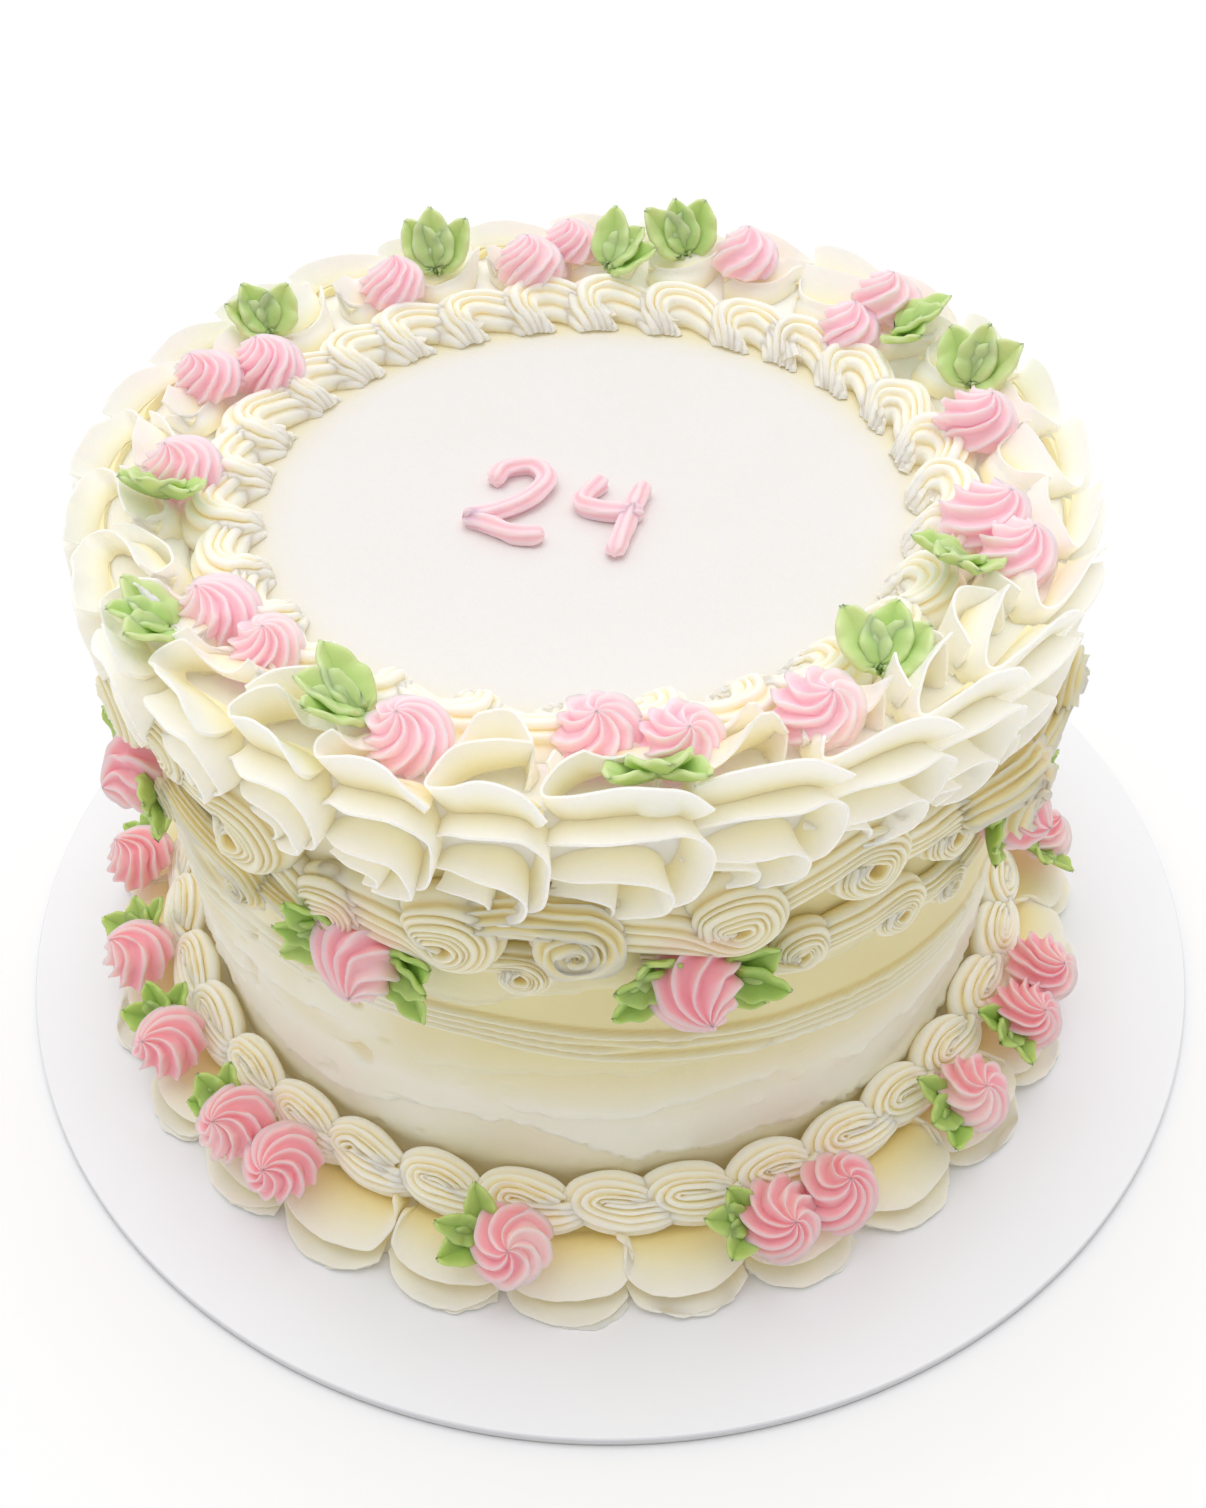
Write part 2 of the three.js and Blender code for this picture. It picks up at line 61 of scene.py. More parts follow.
# Flowers, in the same places as in the part's source: rosettes at [angle, distance from the axis, size], and
# for the leaves also the direction they point in, counted from straight outward, and how steeply they rise.
TOP_FLOWERS = [
    {"rosettes": [(-109.5, 91.5, 8.2)], "leaf": (-119, 92, -60, 16)},
    {"rosettes": [(-88.5, 84, 8.8), (-79.5, 88.5, 8.4)], "leaf": (-83, 101, 0, 16)},
    {"rosettes": [(-63, 89.5, 8.9)], "leaf": (-50, 86, 120, 16)},
    {"rosettes": [(-15.5, 83.5, 10.0), (-23.5, 91.5, 8.4)], "leaf": (-31, 83, -110, 16)},
    {"rosettes": [(8.5, 86, 9.4)], "leaf": (19, 96, 30, 36)},
    {"rosettes": [(41, 83, 8.0), (40.5, 95, 9.1)], "leaf": (31, 91, -60, 16)},
    {"rosettes": [(64.5, 94, 8.9)], "leaf": (76, 99, 30, 34)},
    {"rosettes": [(99, 87, 9.2), (92, 94, 8.0)], "leaf": (83, 88, -50, 16)},
    {"rosettes": [(122.5, 89, 8.5)], "leaf": (113, 97, -20, 36)},
    {"rosettes": [(151.5, 83, 9.2), (159, 91, 8.5)], "leaf": (144, 98, -10, 34)},
    {"rosettes": [(181.5, 85, 9.2)], "leaf": (191, 89, 70, 16)},
    {"rosettes": [(-144.5, 85, 8.2), (-134.5, 85, 7.8)], "leaf": (-145, 101, -20, 16)},
]
SIDE_ANGLES = [-154, -114, -79, -34, 6, 46, 86, 126, 166]
PAIR = 3.6
BASE_FLOWERS = [[-98.5], [-67 - PAIR, -67 + PAIR], [-43], [-26 - PAIR, -26 + PAIR], [0],
                [28 - PAIR, 28 + PAIR], [56], [84 - PAIR, 84 + PAIR], [112], [140 - PAIR, 140 + PAIR],
                [163], [183], [-161], [-147], [-129 - PAIR, -129 + PAIR]]
TOP_SEAT = {"height": 134.5, "tilt": 12, "lift": 0.28}
SIDE_SEAT = {"reach": CAKE_R + 1.7, "height": 92, "tilt": 86, "size": 9.8}
BASE_SEAT = {"radius": 117.5, "height": 17, "tilt": 30, "size": 9.4}


# Small tools.
def lattice(i, seed):
    wave = np.sin(i[..., 0] * 127.1 + i[..., 1] * 311.7 + i[..., 2] * 74.7 + seed * 53.3) * 43758.5453
    return wave - np.floor(wave)


def noise(points, size, seed=0):
    """Smooth noise from -1 to 1 that changes over about size millimetres."""
    p = np.asarray(points, float) / size
    i = np.floor(p)
    f = p - i
    f = f * f * (3 - 2 * f)
    total = 0
    for corner in np.ndindex(2, 2, 2):
        weight = np.prod(np.where(np.array(corner) == 1, f, 1 - f), axis=-1)
        total = total + weight * lattice(i + np.array(corner), seed)
    return 2 * total - 1


def smooth(edge0, edge1, x):
    t = np.clip((x - edge0) / (edge1 - edge0), 0, 1)
    return t * t * (3 - 2 * t)


def around(radius, angle, height):
    """A point at a distance from the cake's axis, an angle in degrees and a height."""
    radius, angle, height = np.broadcast_arrays(radius, np.radians(angle), height)
    return np.stack([CAKE_X + radius * np.cos(angle), radius * np.sin(angle), height], -1)


def unit(vectors):
    return vectors / np.maximum(np.linalg.norm(vectors, axis=-1, keepdims=True), 1e-9)


def curve_through(knots, steps):
    """A smooth curve through the knots, with the same number of steps between each two."""
    k = np.asarray(knots, float)
    k = np.vstack([2 * k[0] - k[1], k, 2 * k[-1] - k[-2]])
    t = np.linspace(0, 1, steps, endpoint=False)[:, None]
    rows = []
    for a, b, c, d in zip(k, k[1:], k[2:], k[3:]):
        rows.append(0.5 * (2 * b + (c - a) * t + (2 * a - 5 * b + 4 * c - d) * t**2
                           + (3 * b - a - 3 * c + d) * t**3))
    return np.vstack(rows + [k[-2][None]])


class Parts:
    """Points, faces and a tint for each point, gathered from several closed parts."""

    def __init__(self):
        self.points, self.faces, self.tints, self.count = [], [], [], 0

    def add(self, points, faces, tint=None):
        points = np.asarray(points, float).reshape(-1, 3)
        tint = np.zeros((len(points), 3)) if tint is None else np.asarray(tint, float).reshape(-1, 3)
        self.points.append(points)
        self.tints.append(tint)
        for group in faces:
            self.faces += (np.asarray(group) + self.count).tolist()
        self.count += len(points)


def grid_quads(rows, columns, wrap=False):
    r = np.arange(rows - 1)[:, None] * columns
    c = np.arange(columns if wrap else columns - 1)[None, :]
    n = (c + 1) % columns
    return np.stack([r + c, r + n, r + columns + n, r + columns + c], -1).reshape(-1, 4)


def turned_out(points, faces):
    """The faces, turned over if they enclose the points inside out."""
    volume = 0
    for group in faces:
        p = points[group]
        for k in range(1, group.shape[1] - 1):
            volume += np.einsum("ij,ij->i", p[:, 0], np.cross(p[:, k], p[:, k + 1])).sum()
    return faces if volume >= 0 else [group[:, ::-1] for group in faces]


def closed_tube(rings):
    """Rings of points joined into a closed skin, with a point at the middle of each end."""
    rows, columns = rings.shape[:2]
    points = np.vstack([rings.reshape(-1, 3), rings[0].mean(0), rings[-1].mean(0)])
    c = np.arange(columns)
    n = (c + 1) % columns
    first, last = rows * columns, rows * columns + 1
    start = np.stack([np.full(columns, first), n, c], -1)
    end = np.stack([np.full(columns, last), (rows - 1) * columns + c, (rows - 1) * columns + n], -1)
    return points, turned_out(points, [grid_quads(rows, columns, True), start, end])


def surface_normals(surface):
    down = np.gradient(surface, axis=0)
    across = np.gradient(surface, axis=1)
    return unit(np.cross(across, down))


def rim_of(rows, columns):
    """The points round the rim of a grid, and the point after each."""
    index = np.arange(rows * columns).reshape(rows, columns)
    rim = np.concatenate([index[0, :-1], index[:-1, -1], index[-1, :0:-1], index[:0:-1, 0]])
    return rim, np.roll(rim, -1)


def closed_sheet(surface, thickness):
    """A grid of points thickened both ways into a closed solid."""
    rows, columns = surface.shape[:2]
    offset = surface_normals(surface) * thickness[..., None] / 2
    points = np.vstack([(surface + offset).reshape(-1, 3), (surface - offset).reshape(-1, 3)])
    upper = grid_quads(rows, columns)
    lower = upper[:, ::-1] + rows * columns
    rim, after = rim_of(rows, columns)
    skirt = np.stack([after, rim, rim + rows * columns, after + rows * columns], -1)
    return points, turned_out(points, [upper, lower, skirt])


def closed_dome(surface, foot):
    """A grid of points with its rim joined to one point below it, as a closed skin."""
    rows, columns = surface.shape[:2]
    points = np.vstack([surface.reshape(-1, 3), foot])
    rim, after = rim_of(rows, columns)
    fan = np.stack([after, rim, np.full(len(rim), rows * columns)], -1)
    return points, turned_out(points, [grid_quads(rows, columns), fan])


def make_piece(name, parts, material, nodes=(), sharp=None):
    mesh = bpy.data.meshes.new(name)
    mesh.from_pydata((np.vstack(parts.points) * MM).tolist(), [], parts.faces)
    mesh.validate()
    tint = mesh.attributes.new("tint", "FLOAT_COLOR", "POINT")
    colours = np.hstack([np.vstack(parts.tints), np.ones((parts.count, 1))])
    tint.data.foreach_set("color", colours.astype(np.float32).ravel())
    mesh.shade_smooth()
    if sharp:
        mesh.set_sharp_from_angle(angle=math.radians(sharp))
    mesh.materials.append(material)
    piece = bpy.data.objects.new(name, mesh)
    bpy.context.scene.collection.objects.link(piece)
    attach(piece, "root")
    if nodes:
        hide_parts(*nodes)
    return piece


# Materials.
def new_material(name):
    material = bpy.data.materials.new(name)
    material.use_nodes = True
    tree = material.node_tree
    return material, tree, tree.nodes["Principled BSDF"]


def add_node(tree, kind, **values):
    node = tree.nodes.new(kind)
    for key, value in values.items():
        if key in node.inputs:
            node.inputs[key].default_value = value
        else:
            setattr(node, key, value)
    return node


def noise_node(tree, scale, detail=3.0, rough=0.55):
    """Noise in the object's own place, with scale in features to the metre."""
    place = tree.nodes.get("Place") or add_node(tree, "ShaderNodeTexCoord", name="Place")
    node = add_node(tree, "ShaderNodeTexNoise", Scale=scale, Detail=detail, Roughness=rough)
    tree.links.new(place.outputs["Object"], node.inputs["Vector"])
    return node.outputs["Fac"]


def ramp_node(tree, factor, stops):
    node = add_node(tree, "ShaderNodeValToRGB")
    ramp = node.color_ramp
    while len(ramp.elements) < len(stops):
        ramp.elements.new(0.5)
    for element, (place, colour) in zip(ramp.elements, stops):
        element.position = place
        element.color = (*colour, 1)
    tree.links.new(factor, node.inputs["Fac"])
    return node.outputs["Color"]


def mix_colour(tree, factor, a, b, blend="MIX"):
    node = add_node(tree, "ShaderNodeMix", data_type="RGBA", blend_type=blend)
    for socket, value in ((node.inputs[0], factor), (node.inputs[6], a), (node.inputs[7], b)):
        if hasattr(value, "links"):
            tree.links.new(value, socket)
        elif isinstance(value, tuple):
            socket.default_value = (*value, 1)
        else:
            socket.default_value = value
    return node.outputs[2]


def add_bump(tree, shader, layers, distance):
    """Bump from several layers, each a height and its strength."""
    normal = None
    for height, strength in layers:
        bump = add_node(tree, "ShaderNodeBump", Strength=strength, Distance=distance)
        tree.links.new(height, bump.inputs["Height"])
        if normal is not None:
            tree.links.new(normal, bump.inputs["Normal"])
        normal = bump.outputs["Normal"]
    tree.links.new(normal, shader.inputs["Normal"])


def buttercream(name, light, deep, crest, crease_shade, stain_and_painted_light, subsurface=0.6, glow=0.1, rough=(0.42, 0.55)):
    """Buttercream: soft noise between two tones. The tint's red paints a highlight on crests, its blue paints
    shade into creases, and its green is for where another colour has run in, or for paler patches (on the smooth
    icing, painted light). A faint emission, painted light in a tone between the lighter one and the crease
    shade, keeps the shadows warm."""
    material, tree, shader = new_material(name)
    tint = add_node(tree, "ShaderNodeVertexColor", layer_name="tint")
    split = add_node(tree, "ShaderNodeSeparateColor")
    tree.links.new(tint.outputs["Color"], split.inputs["Color"])
    colour = ramp_node(tree, noise_node(tree, 55, 4), [(0.3, deep), (0.7, light)])
    # Red mixes in a painted highlight, blue a painted crease shade, green a stain or paler painted light.
    colour = mix_colour(tree, split.outputs["Red"], colour, crest)
    colour = mix_colour(tree, split.outputs["Blue"], colour, crease_shade)
    colour = mix_colour(tree, split.outputs["Green"], colour, stain_and_painted_light)
    tree.links.new(colour, shader.inputs["Base Color"])
    low_rough, high_rough = rough
    tones = ramp_node(tree, noise_node(tree, 130, 3), [(0.35, (low_rough,) * 3), (0.7, (high_rough,) * 3)])
    tree.links.new(tones, shader.inputs["Roughness"])
    shader.inputs["Subsurface Weight"].default_value = subsurface
    shader.inputs["Subsurface Radius"].default_value = (1.0, 0.8, 0.5)
    shader.inputs["Subsurface Scale"].default_value = 0.004
    # Emission in a warm tone: painted light that keeps the shadows warm.
    shader.inputs["Emission Color"].default_value = (*[(a + b) / 2 for a, b in zip(light, crease_shade)], 1)
    shader.inputs["Emission Strength"].default_value = glow
    shader.inputs["Specular IOR Level"].default_value = 0.4
    add_bump(tree, shader, [(noise_node(tree, 420, 4), 0.25), (noise_node(tree, 2200, 2), 0.12)], 0.0006)
    return material


def laminated_card():
    material, tree, shader = new_material("white_card")
    base = ramp_node(tree, noise_node(tree, 9, 3), [(0.35, (0.90, 0.91, 0.95)), (0.7, (0.915, 0.925, 0.965))])
    tint = add_node(tree, "ShaderNodeVertexColor", layer_name="tint")
    split = add_node(tree, "ShaderNodeSeparateColor")
    tree.links.new(tint.outputs["Color"], split.inputs["Color"])
    colour = mix_colour(tree, split.outputs["Red"], base, (0.36, 0.345, 0.33))
    tree.links.new(colour, shader.inputs["Base Color"])
    tones = ramp_node(tree, noise_node(tree, 30, 4), [(0.4, (0.3,) * 3), (0.7, (0.38,) * 3)])
    tree.links.new(tones, shader.inputs["Roughness"])
    shader.inputs["Specular IOR Level"].default_value = 0.4
    add_bump(tree, shader, [(noise_node(tree, 900, 3), 0.08)], 0.0003)
    return material


ROSE_STAIN = (0.95, 0.75, 0.62)
CREAM = buttercream("cream_ruffle", (0.955, 0.942, 0.885), (0.945, 0.926, 0.85), (0.97, 0.957, 0.92),
    (0.93, 0.81, 0.44), ROSE_STAIN, 0.6, 0.08)
SHELL_CREAM = buttercream("cream_shells", (0.95, 0.90, 0.765), (0.94, 0.875, 0.71), (0.965, 0.94, 0.86),
    (0.92, 0.75, 0.35), ROSE_STAIN, 0.6, 0.09)
FOOT_CREAM = buttercream("cream_foot", (0.94, 0.895, 0.755), (0.925, 0.865, 0.68), (0.955, 0.93, 0.84),
    (0.81, 0.62, 0.15), ROSE_STAIN, 0.6, 0.06)
# Garland cream: painted darker and yellower than the other creams, as painted shade for its place under the top
# ruffle's overhang.
SHADED_GARLAND_CREAM = buttercream("cream_garland_painted_shade", (0.82, 0.75, 0.49), (0.80, 0.715, 0.43), (0.90, 0.86, 0.69),
    (0.77, 0.59, 0.18), (0.93, 0.62, 0.52), 0.5, 0.04)
# Smooth icing: its two tones are the top's. Its red slot paints the wall darker and yellower than the top and a
# warm shade next to the top shells (painted shade), its blue slot painted shade in the wall's creases, its green
# slot paler painted light.
ICING = buttercream("smooth_icing", (0.85, 0.826, 0.808), (0.843, 0.818, 0.793), (0.86, 0.775, 0.42),
    (0.78, 0.62, 0.23), (0.97, 0.945, 0.80), 0.1, 0.0)
PINK = buttercream("pink_piping", (0.965, 0.61, 0.68), (0.95, 0.54, 0.62), (0.98, 0.83, 0.87),
    (0.91, 0.36, 0.46), (0.95, 0.88, 0.83), 0.6, 0.11)
SIDE_PINK = buttercream("pink_piping_below", (0.93, 0.43, 0.48), (0.91, 0.35, 0.40), (0.96, 0.71, 0.735),
    (0.87, 0.21, 0.27), (0.95, 0.88, 0.82), 0.5, 0.05)
PALE_PINK = buttercream("pale_pink_piping", (0.955, 0.68, 0.725), (0.945, 0.64, 0.69), (0.955, 0.685, 0.73),
    (0.925, 0.52, 0.59), (0.94, 0.87, 0.80), 0.6, 0.08)
GREEN = buttercream("green_piping", (0.45, 0.68, 0.20), (0.36, 0.58, 0.12), (0.64, 0.80, 0.37),
    (0.22, 0.42, 0.06), (0.80, 0.84, 0.50), 0.4, 0.03)
SIDE_GREEN = buttercream("green_piping_below", (0.27, 0.47, 0.07), (0.19, 0.37, 0.03), (0.46, 0.65, 0.18),
    (0.11, 0.27, 0.015), (0.66, 0.75, 0.32), 0.4, 0.02)
CARD = laminated_card()


# Piping: a rope from a star tip, with crests along it.
def star_section(lobes, depth, per_lobe, soft):
    """Angles round the rope, how far the skin is from its middle there, and how deep in a groove it is. The
    higher soft is, the rounder the crests are."""
    t = np.arange(lobes * per_lobe) / per_lobe
    away = 1 - np.abs(2 * (t % 1) - 1)
    groove = np.sin(math.pi / 2 * away) ** soft
    return 2 * math.pi * t / lobes, 1 - depth * groove, groove


def rope(path, up, radius, rng, lobes, depth, per_lobe, soft, twist, wave, squash=1.0):
    """A star-tip rope along a path. up points away from what it lies on, and radius changes along it."""
    ahead = unit(np.gradient(path, axis=0))
    side = unit(np.cross(ahead, up))
    top = unit(np.cross(side, ahead))
    angle, reach, groove = star_section(lobes, depth, per_lobe, soft)
    turn = np.linspace(0, twist, len(path))[:, None]
    a = angle[None, :] + turn
    r = radius[:, None] * reach[None, :]
    run = np.cumsum(np.linalg.norm(np.diff(path, axis=0, prepend=path[:1]), axis=1))[:, None]
    across = 9 * np.cos(angle)[None, :] + 0 * a
    over = 9 * np.sin(angle)[None, :] + 0 * a
    spots = np.stack([run + 0 * a, across, over], -1)
    r = r * (1 + wave * noise(spots, 3.2, rng.uniform(0, 99)) * (1 - groove)[None, :])
    a = a + 0.7 * wave * noise(spots, 5.0, rng.uniform(0, 99))
    rings = path[:, None] + (r * np.cos(a))[..., None] * side[:, None]
    rings = rings + (r * squash * np.sin(a))[..., None] * top[:, None]
    points, faces = closed_tube(rings)
    tint = np.zeros((len(points), 3))
    # Painted highlight on the crests (red) and painted shade deep in the grooves (blue).
    tint[: rings[..., 0].size, 0] = np.tile((1 - groove) ** 2, len(path))
    tint[: rings[..., 0].size, 2] = np.tile(0.8 * groove ** 3, len(path))
    return points, faces, tint


def on_ring(local, radius, angle, height, tilt):
    """Takes local points (along the ring, outward, away from the surface) onto a ring of the cake. The surface
    there faces up at tilt 0, and outward at tilt 90. Also gives the direction away from the surface."""
    along, out, away = local[:, 0], local[:, 1], local[:, 2]
    lean = math.radians(tilt)
    r = radius + out * math.cos(lean) + away * math.sin(lean)
    z = height - out * math.sin(lean) + away * math.cos(lean)
    at = angle + np.degrees(along / radius)
    direction = np.radians(at)
    up = np.stack([np.cos(direction) * math.sin(lean), np.sin(direction) * math.sin(lean),
                   np.full(len(at), math.cos(lean))], -1)
    return around(r, at, z), up


def scroll(parts, rng, place, curl, thickness, tail, turned, flip):
    """A C-shaped scroll: the rope curls round its head and runs out in a tail. place is (radius, angle, height,
    tilt) of the head's middle, and the tail is a list of local points after the curl."""
    count = max(8, round(turned / 22))
    turns = np.radians(np.linspace(turned - 90, -90, count))
    grow = np.linspace(0.12, 1, count)
    head = np.stack([np.cos(turns) * curl * grow, -flip * np.sin(turns) * curl * grow], -1)
    flat = np.vstack([head, [[x, flip * y] for x, y in tail]])
    path = curve_through(flat, 2)
    s = np.linspace(0, 1, len(path))
    bulb = count / len(flat)
    radius = thickness * np.interp(s, [0, 0.3 * bulb, 0.7 * bulb, bulb, 1], [0.75, 0.85, 0.95, 1.0, 0.75])
    away = radius * np.interp(s, [0, 0.5 * bulb, bulb, 1], [1.5, 1.0, 0.75, 0.6])
    points, up = on_ring(np.column_stack([path, away]), *place)
    twist = rng.uniform(-0.4, 0.4)
    parts.add(*rope(points, up, radius, rng, lobes=13, depth=0.34, per_lobe=4, soft=0.9, twist=twist,
                    wave=0.24))


# A shell is made of ridges that lie within one another. These are its outer and its inner line, with x along the
# ring and y outward on the top or downward at the foot. A top shell starts on its inner side, turns round its
# head and runs back in a tail under the next one. A foot shell starts at its lower right, runs to the left and
# turns back over its top.
TOP_SHELL = {
    "outer": [(5.4, -6.0), (9.0, -2.2), (8.6, 3.4), (4.2, 7.2), (-2.5, 7.8), (-9.0, 5.6), (-14.6, 1.6),
              (-19, -2.0)],
    "inner": [(-3.6, -5.8), (-1.6, -4.4), (-1.4, -2.8), (-2.8, -2.0), (-5.2, -2.4), (-8.0, -3.6), (-11, -4.8),
              (-14, -5.8)],
    "ridges": 6,
    "rise": 8.8,
    "crest": 1.4,
    "across": ((0, 0.06, 0.18, 0.4, 0.7, 0.9, 1), (0, 0.4, 0.75, 1.0, 0.85, 0.45, 0.1)),
    "along": ((0, 0.07, 0.2, 0.5, 0.8, 1), (0.15, 0.6, 0.95, 1.0, 0.8, 0.35)),
}
FOOT_SHELL = {
    "outer": [(11.6, 4.2), (6.6, 6.2), (0.5, 6.2), (-5.5, 4.4), (-10.4, 0.6), (-9.6, -2.8), (-5.2, -5.0),
              (0.2, -5.2), (4.8, -3.6), (7.8, -1.2)],
    "inner": [(9.4, 0.2), (5.4, -0.5), (1.8, -1.0), (-1.2, -1.2), (-2.6, -1.1), (-2.9, -1.0), (-2.3, -0.9),
              (-0.6, -0.6), (1.8, -0.1), (4.2, 0.5)],
    "ridges": 5,
    "rise": 6.6,
    "crest": 1.7,
    "across": ((0, 0.06, 0.15, 0.35, 0.6, 1), (0, 0.3, 0.6, 0.85, 0.97, 1.0)),
    "along": ((0, 0.06, 0.2, 0.8, 1), (0.55, 0.85, 1.0, 1.0, 0.75)),
}


def shell(parts, rng, place, form):
    """One shell of a border, with its ridges and the teeth at both ends of them."""
    per_ridge = 7
    ridges = form["ridges"]
    scale = rng.uniform(0.95, 1.06)
    outer, inner = (curve_through(np.array(form[k]) * scale + rng.uniform(-0.3, 0.3, (len(form[k]), 2)), 4)
                    for k in ("outer", "inner"))
    u = np.linspace(0, 1, len(outer))[:, None]
    v = np.linspace(0, 1, ridges * per_ridge + 1)[None, :]
    edges = np.concatenate([[0], np.cumsum(rng.uniform(0.8, 1.25, ridges))])
    phase = np.interp(v, edges / edges[-1], np.arange(ridges + 1))
    wavy = noise(np.stack([6 * u + 0 * v, phase + 0 * u, 0 * u * v], -1), 1, rng.uniform(0, 99))
    wave = form.get("wave", 0.14)
    ridge = np.abs(np.sin(math.pi * (phase + wave * wavy * np.sin(math.pi * v)))) ** 0.8
    lines = outer[:, None] * (1 - v[..., None]) + inner[:, None] * v[..., None]
    ahead = unit(np.gradient(lines, axis=0))
    torn = rng.uniform(0.3, 1.2, ridges + 1)[np.minimum(phase.astype(int), ridges)]
    tooth = 1.6 * torn * ridge * (smooth(0.85, 1, u) - smooth(0.13, 0, u))
    lines = lines + ahead * tooth[..., None]
    across = np.interp(v, *form["across"])
    if "tail" in form:
        head = smooth(0.22, 0.42, u)
        across = head * across + (1 - head) * np.interp(v, *form["tail"])
    away = form["rise"] * scale * across * np.interp(u, *form["along"]) - 0.8
    flat = np.column_stack([lines.reshape(-1, 2), away.ravel()])
    points, up = on_ring(flat, *place)
    surface = points.reshape(*away.shape, 3)
    normals = surface_normals(surface)
    if np.sum(normals.reshape(-1, 3) * up) < 0:
        normals = -normals
    surface = surface + normals * (form["crest"] * ridge * (1 + (0.2 + wave) * wavy))[..., None]
    foot, _ = on_ring(np.array([[*lines.mean((0, 1)), -2.0]]), *place)
    points, faces = closed_dome(surface, foot)
    tint = np.zeros((len(points), 3))
    # Painted highlight on the ridges' crests (red); painted shade between the ridges and along the outer foot
    # (blue).
    tint[:-1, 0] = (0.9 * ridge ** 3).ravel()
    tint[:-1, 2] = (0.75 * (1 - ridge) ** 2 + 0.3 * smooth(0.08, 0, v) + 0 * u).ravel()
    parts.add(points, faces, tint)


def scroll_form(curl, reach, climb, side):
    """The lines of a scroll on the wall: a tail from the head before it, and a head of nested arcs."""
    outer = [(-0.98, -0.3), (-0.62, -0.9), (-0.3, -1.2)]
    inner = [(-0.98, 1.1), (-0.62, 0.9), (-0.3, 0.5)]
    outer_head = [(0, -1.35), (1.0, -1.0), (1.4, 0), (1.0, 1.0), (0, 1.3), (-0.95, 0.8), (-1.0, 0.0)]
    inner_head = [(-0.3, -0.2), (0.05, -0.25), (0.25, -0.05), (0.15, 0.2), (-0.1, 0.2), (-0.2, 0.05),
                  (-0.1, -0.1)]
    rise = (0.9, 0.45, 0.1)
    lines = []
    for tail, head in ((outer, outer_head), (inner, inner_head)):
        knots = [(x * reach, -side * y * curl - climb * share) for (x, y), share in zip(tail, rise)]
        lines.append(knots + [(x * curl, -side * y * curl) for x, y in head])
    return {
        "outer": lines[0],
        "inner": lines[1],
        "ridges": 7,
        "rise": 1.15 * curl,
        "crest": 1.1,
        "wave": 0.3,
        "across": ((0, 0.07, 0.2, 0.5, 1), (0, 0.45, 0.75, 0.95, 1.0)),
        "tail": ((0, 0.08, 0.3, 0.7, 0.92, 1), (0, 0.5, 0.8, 0.8, 0.5, 0)),
        "along": ((0, 0.08, 0.3, 0.8, 1), (0.5, 0.75, 0.9, 1.0, 0.8)),
    }


def top_shells():
    """Shells round the smooth top, with their heads towards the middle of the cake."""
    rng = np.random.default_rng(11)
    parts = Parts()
    count = 28
    for k in range(count):
        place = (77.4 + rng.uniform(-0.5, 0.5), -4 + 360 / count * k + rng.uniform(-1, 1), CAKE_TOP, 0)
        shell(parts, rng, place, TOP_SHELL)
    make_piece("cream_top_shells", parts, SHELL_CREAM, ["top_shell_border"], sharp=80)


# The ruffles: ribbons from a petal tip, laid to and fro. Each knot is where the thin outer edge is (along the
# fold, as a share of half its width; distance from the axis; height), and then where the thick foot is, the
# same way.
TOP_FRILL = [
    (-1.05, 98, 144, -0.8, 95, 133),
    (-0.8, 93, 145.5, -0.62, 90, 133),
    (-0.35, 89.5, 146, -0.28, 87.5, 133),
    (0.2, 88.6, 145.6, 0.18, 87, 133),
    (0.62, 90.5, 145, 0.5, 88, 133),
    (0.8, 94, 143, 0.66, 91, 133),
    (0.6, 97, 136.5, 0.52, 94, 133),
]
TOP_COLLAR = [
    (0.8, 95.5, 147, 0.72, 90, 138),
    (0.1, 96.5, 148, 0.1, 91, 137.5),
    (-0.6, 98.5, 146.5, -0.5, 93, 137),
    (-1.02, 101.8, 143.2, -0.85, 96.5, 136.5),
    (-1, 104.2, 142, -0.82, 99.5, 135.5),
    (-0.55, 105.8, 144.8, -0.5, 101.5, 136),
    (0, 107.2, 147.6, -0.02, 102, 137),
    (0.5, 108.4, 148.2, 0.42, 102.5, 137.4),
    (0.88, 109.6, 146.4, 0.72, 102.8, 137),
    (1.18, 110.6, 143.4, 0.93, 103, 136),
]
TOP_SHELF = [
    (-1.18, 103.6, 130.5, -0.95, 99.5, 132),
    (-0.64, 108, 136.2, -0.58, 100, 135),
    (-0.08, 110.4, 138, -0.06, 100.5, 136.2),
    (0.42, 111.2, 138.8, 0.36, 100.5, 136.8),
    (0.82, 111.4, 138.8, 0.7, 100.5, 136.5),
    (1.12, 111.2, 135.6, 0.92, 100.5, 133.5),
    (1.16, 110.4, 130.2, 0.95, 100.5, 129),
    (0.96, 109, 124, 0.82, 100.5, 124.5),
    (0.6, 107, 120, 0.5, 100.5, 121.5),
]
TOP_UNDER = [
    (-1.18, 103.6, 124.5, -0.95, 99.5, 126.5),
    (-0.64, 107.4, 126.8, -0.55, 100, 128.5),
    (-0.08, 109.4, 127.8, -0.06, 100, 129),
    (0.42, 110.2, 127.6, 0.34, 100, 128.5),
    (0.7, 110.2, 124.5, 0.54, 100, 125.5),
    (0.62, 109, 119.8, 0.48, 100, 121.5),
    (0.2, 107.5, 117.2, 0.12, 100, 118.5),
    (-0.2, 106, 116.2, -0.2, 100, 117),
]
TOP_SCRAP = [
    (-1.05, 104, 121, -0.85, 100, 122.5),
    (-0.5, 106.5, 122.6, -0.42, 100, 123.5),
    (-0.08, 107.2, 121.6, -0.1, 100, 122.5),
    (-0.06, 106.6, 118.4, -0.1, 100, 119.5),
    (-0.42, 105.4, 117, -0.4, 100, 118),
]
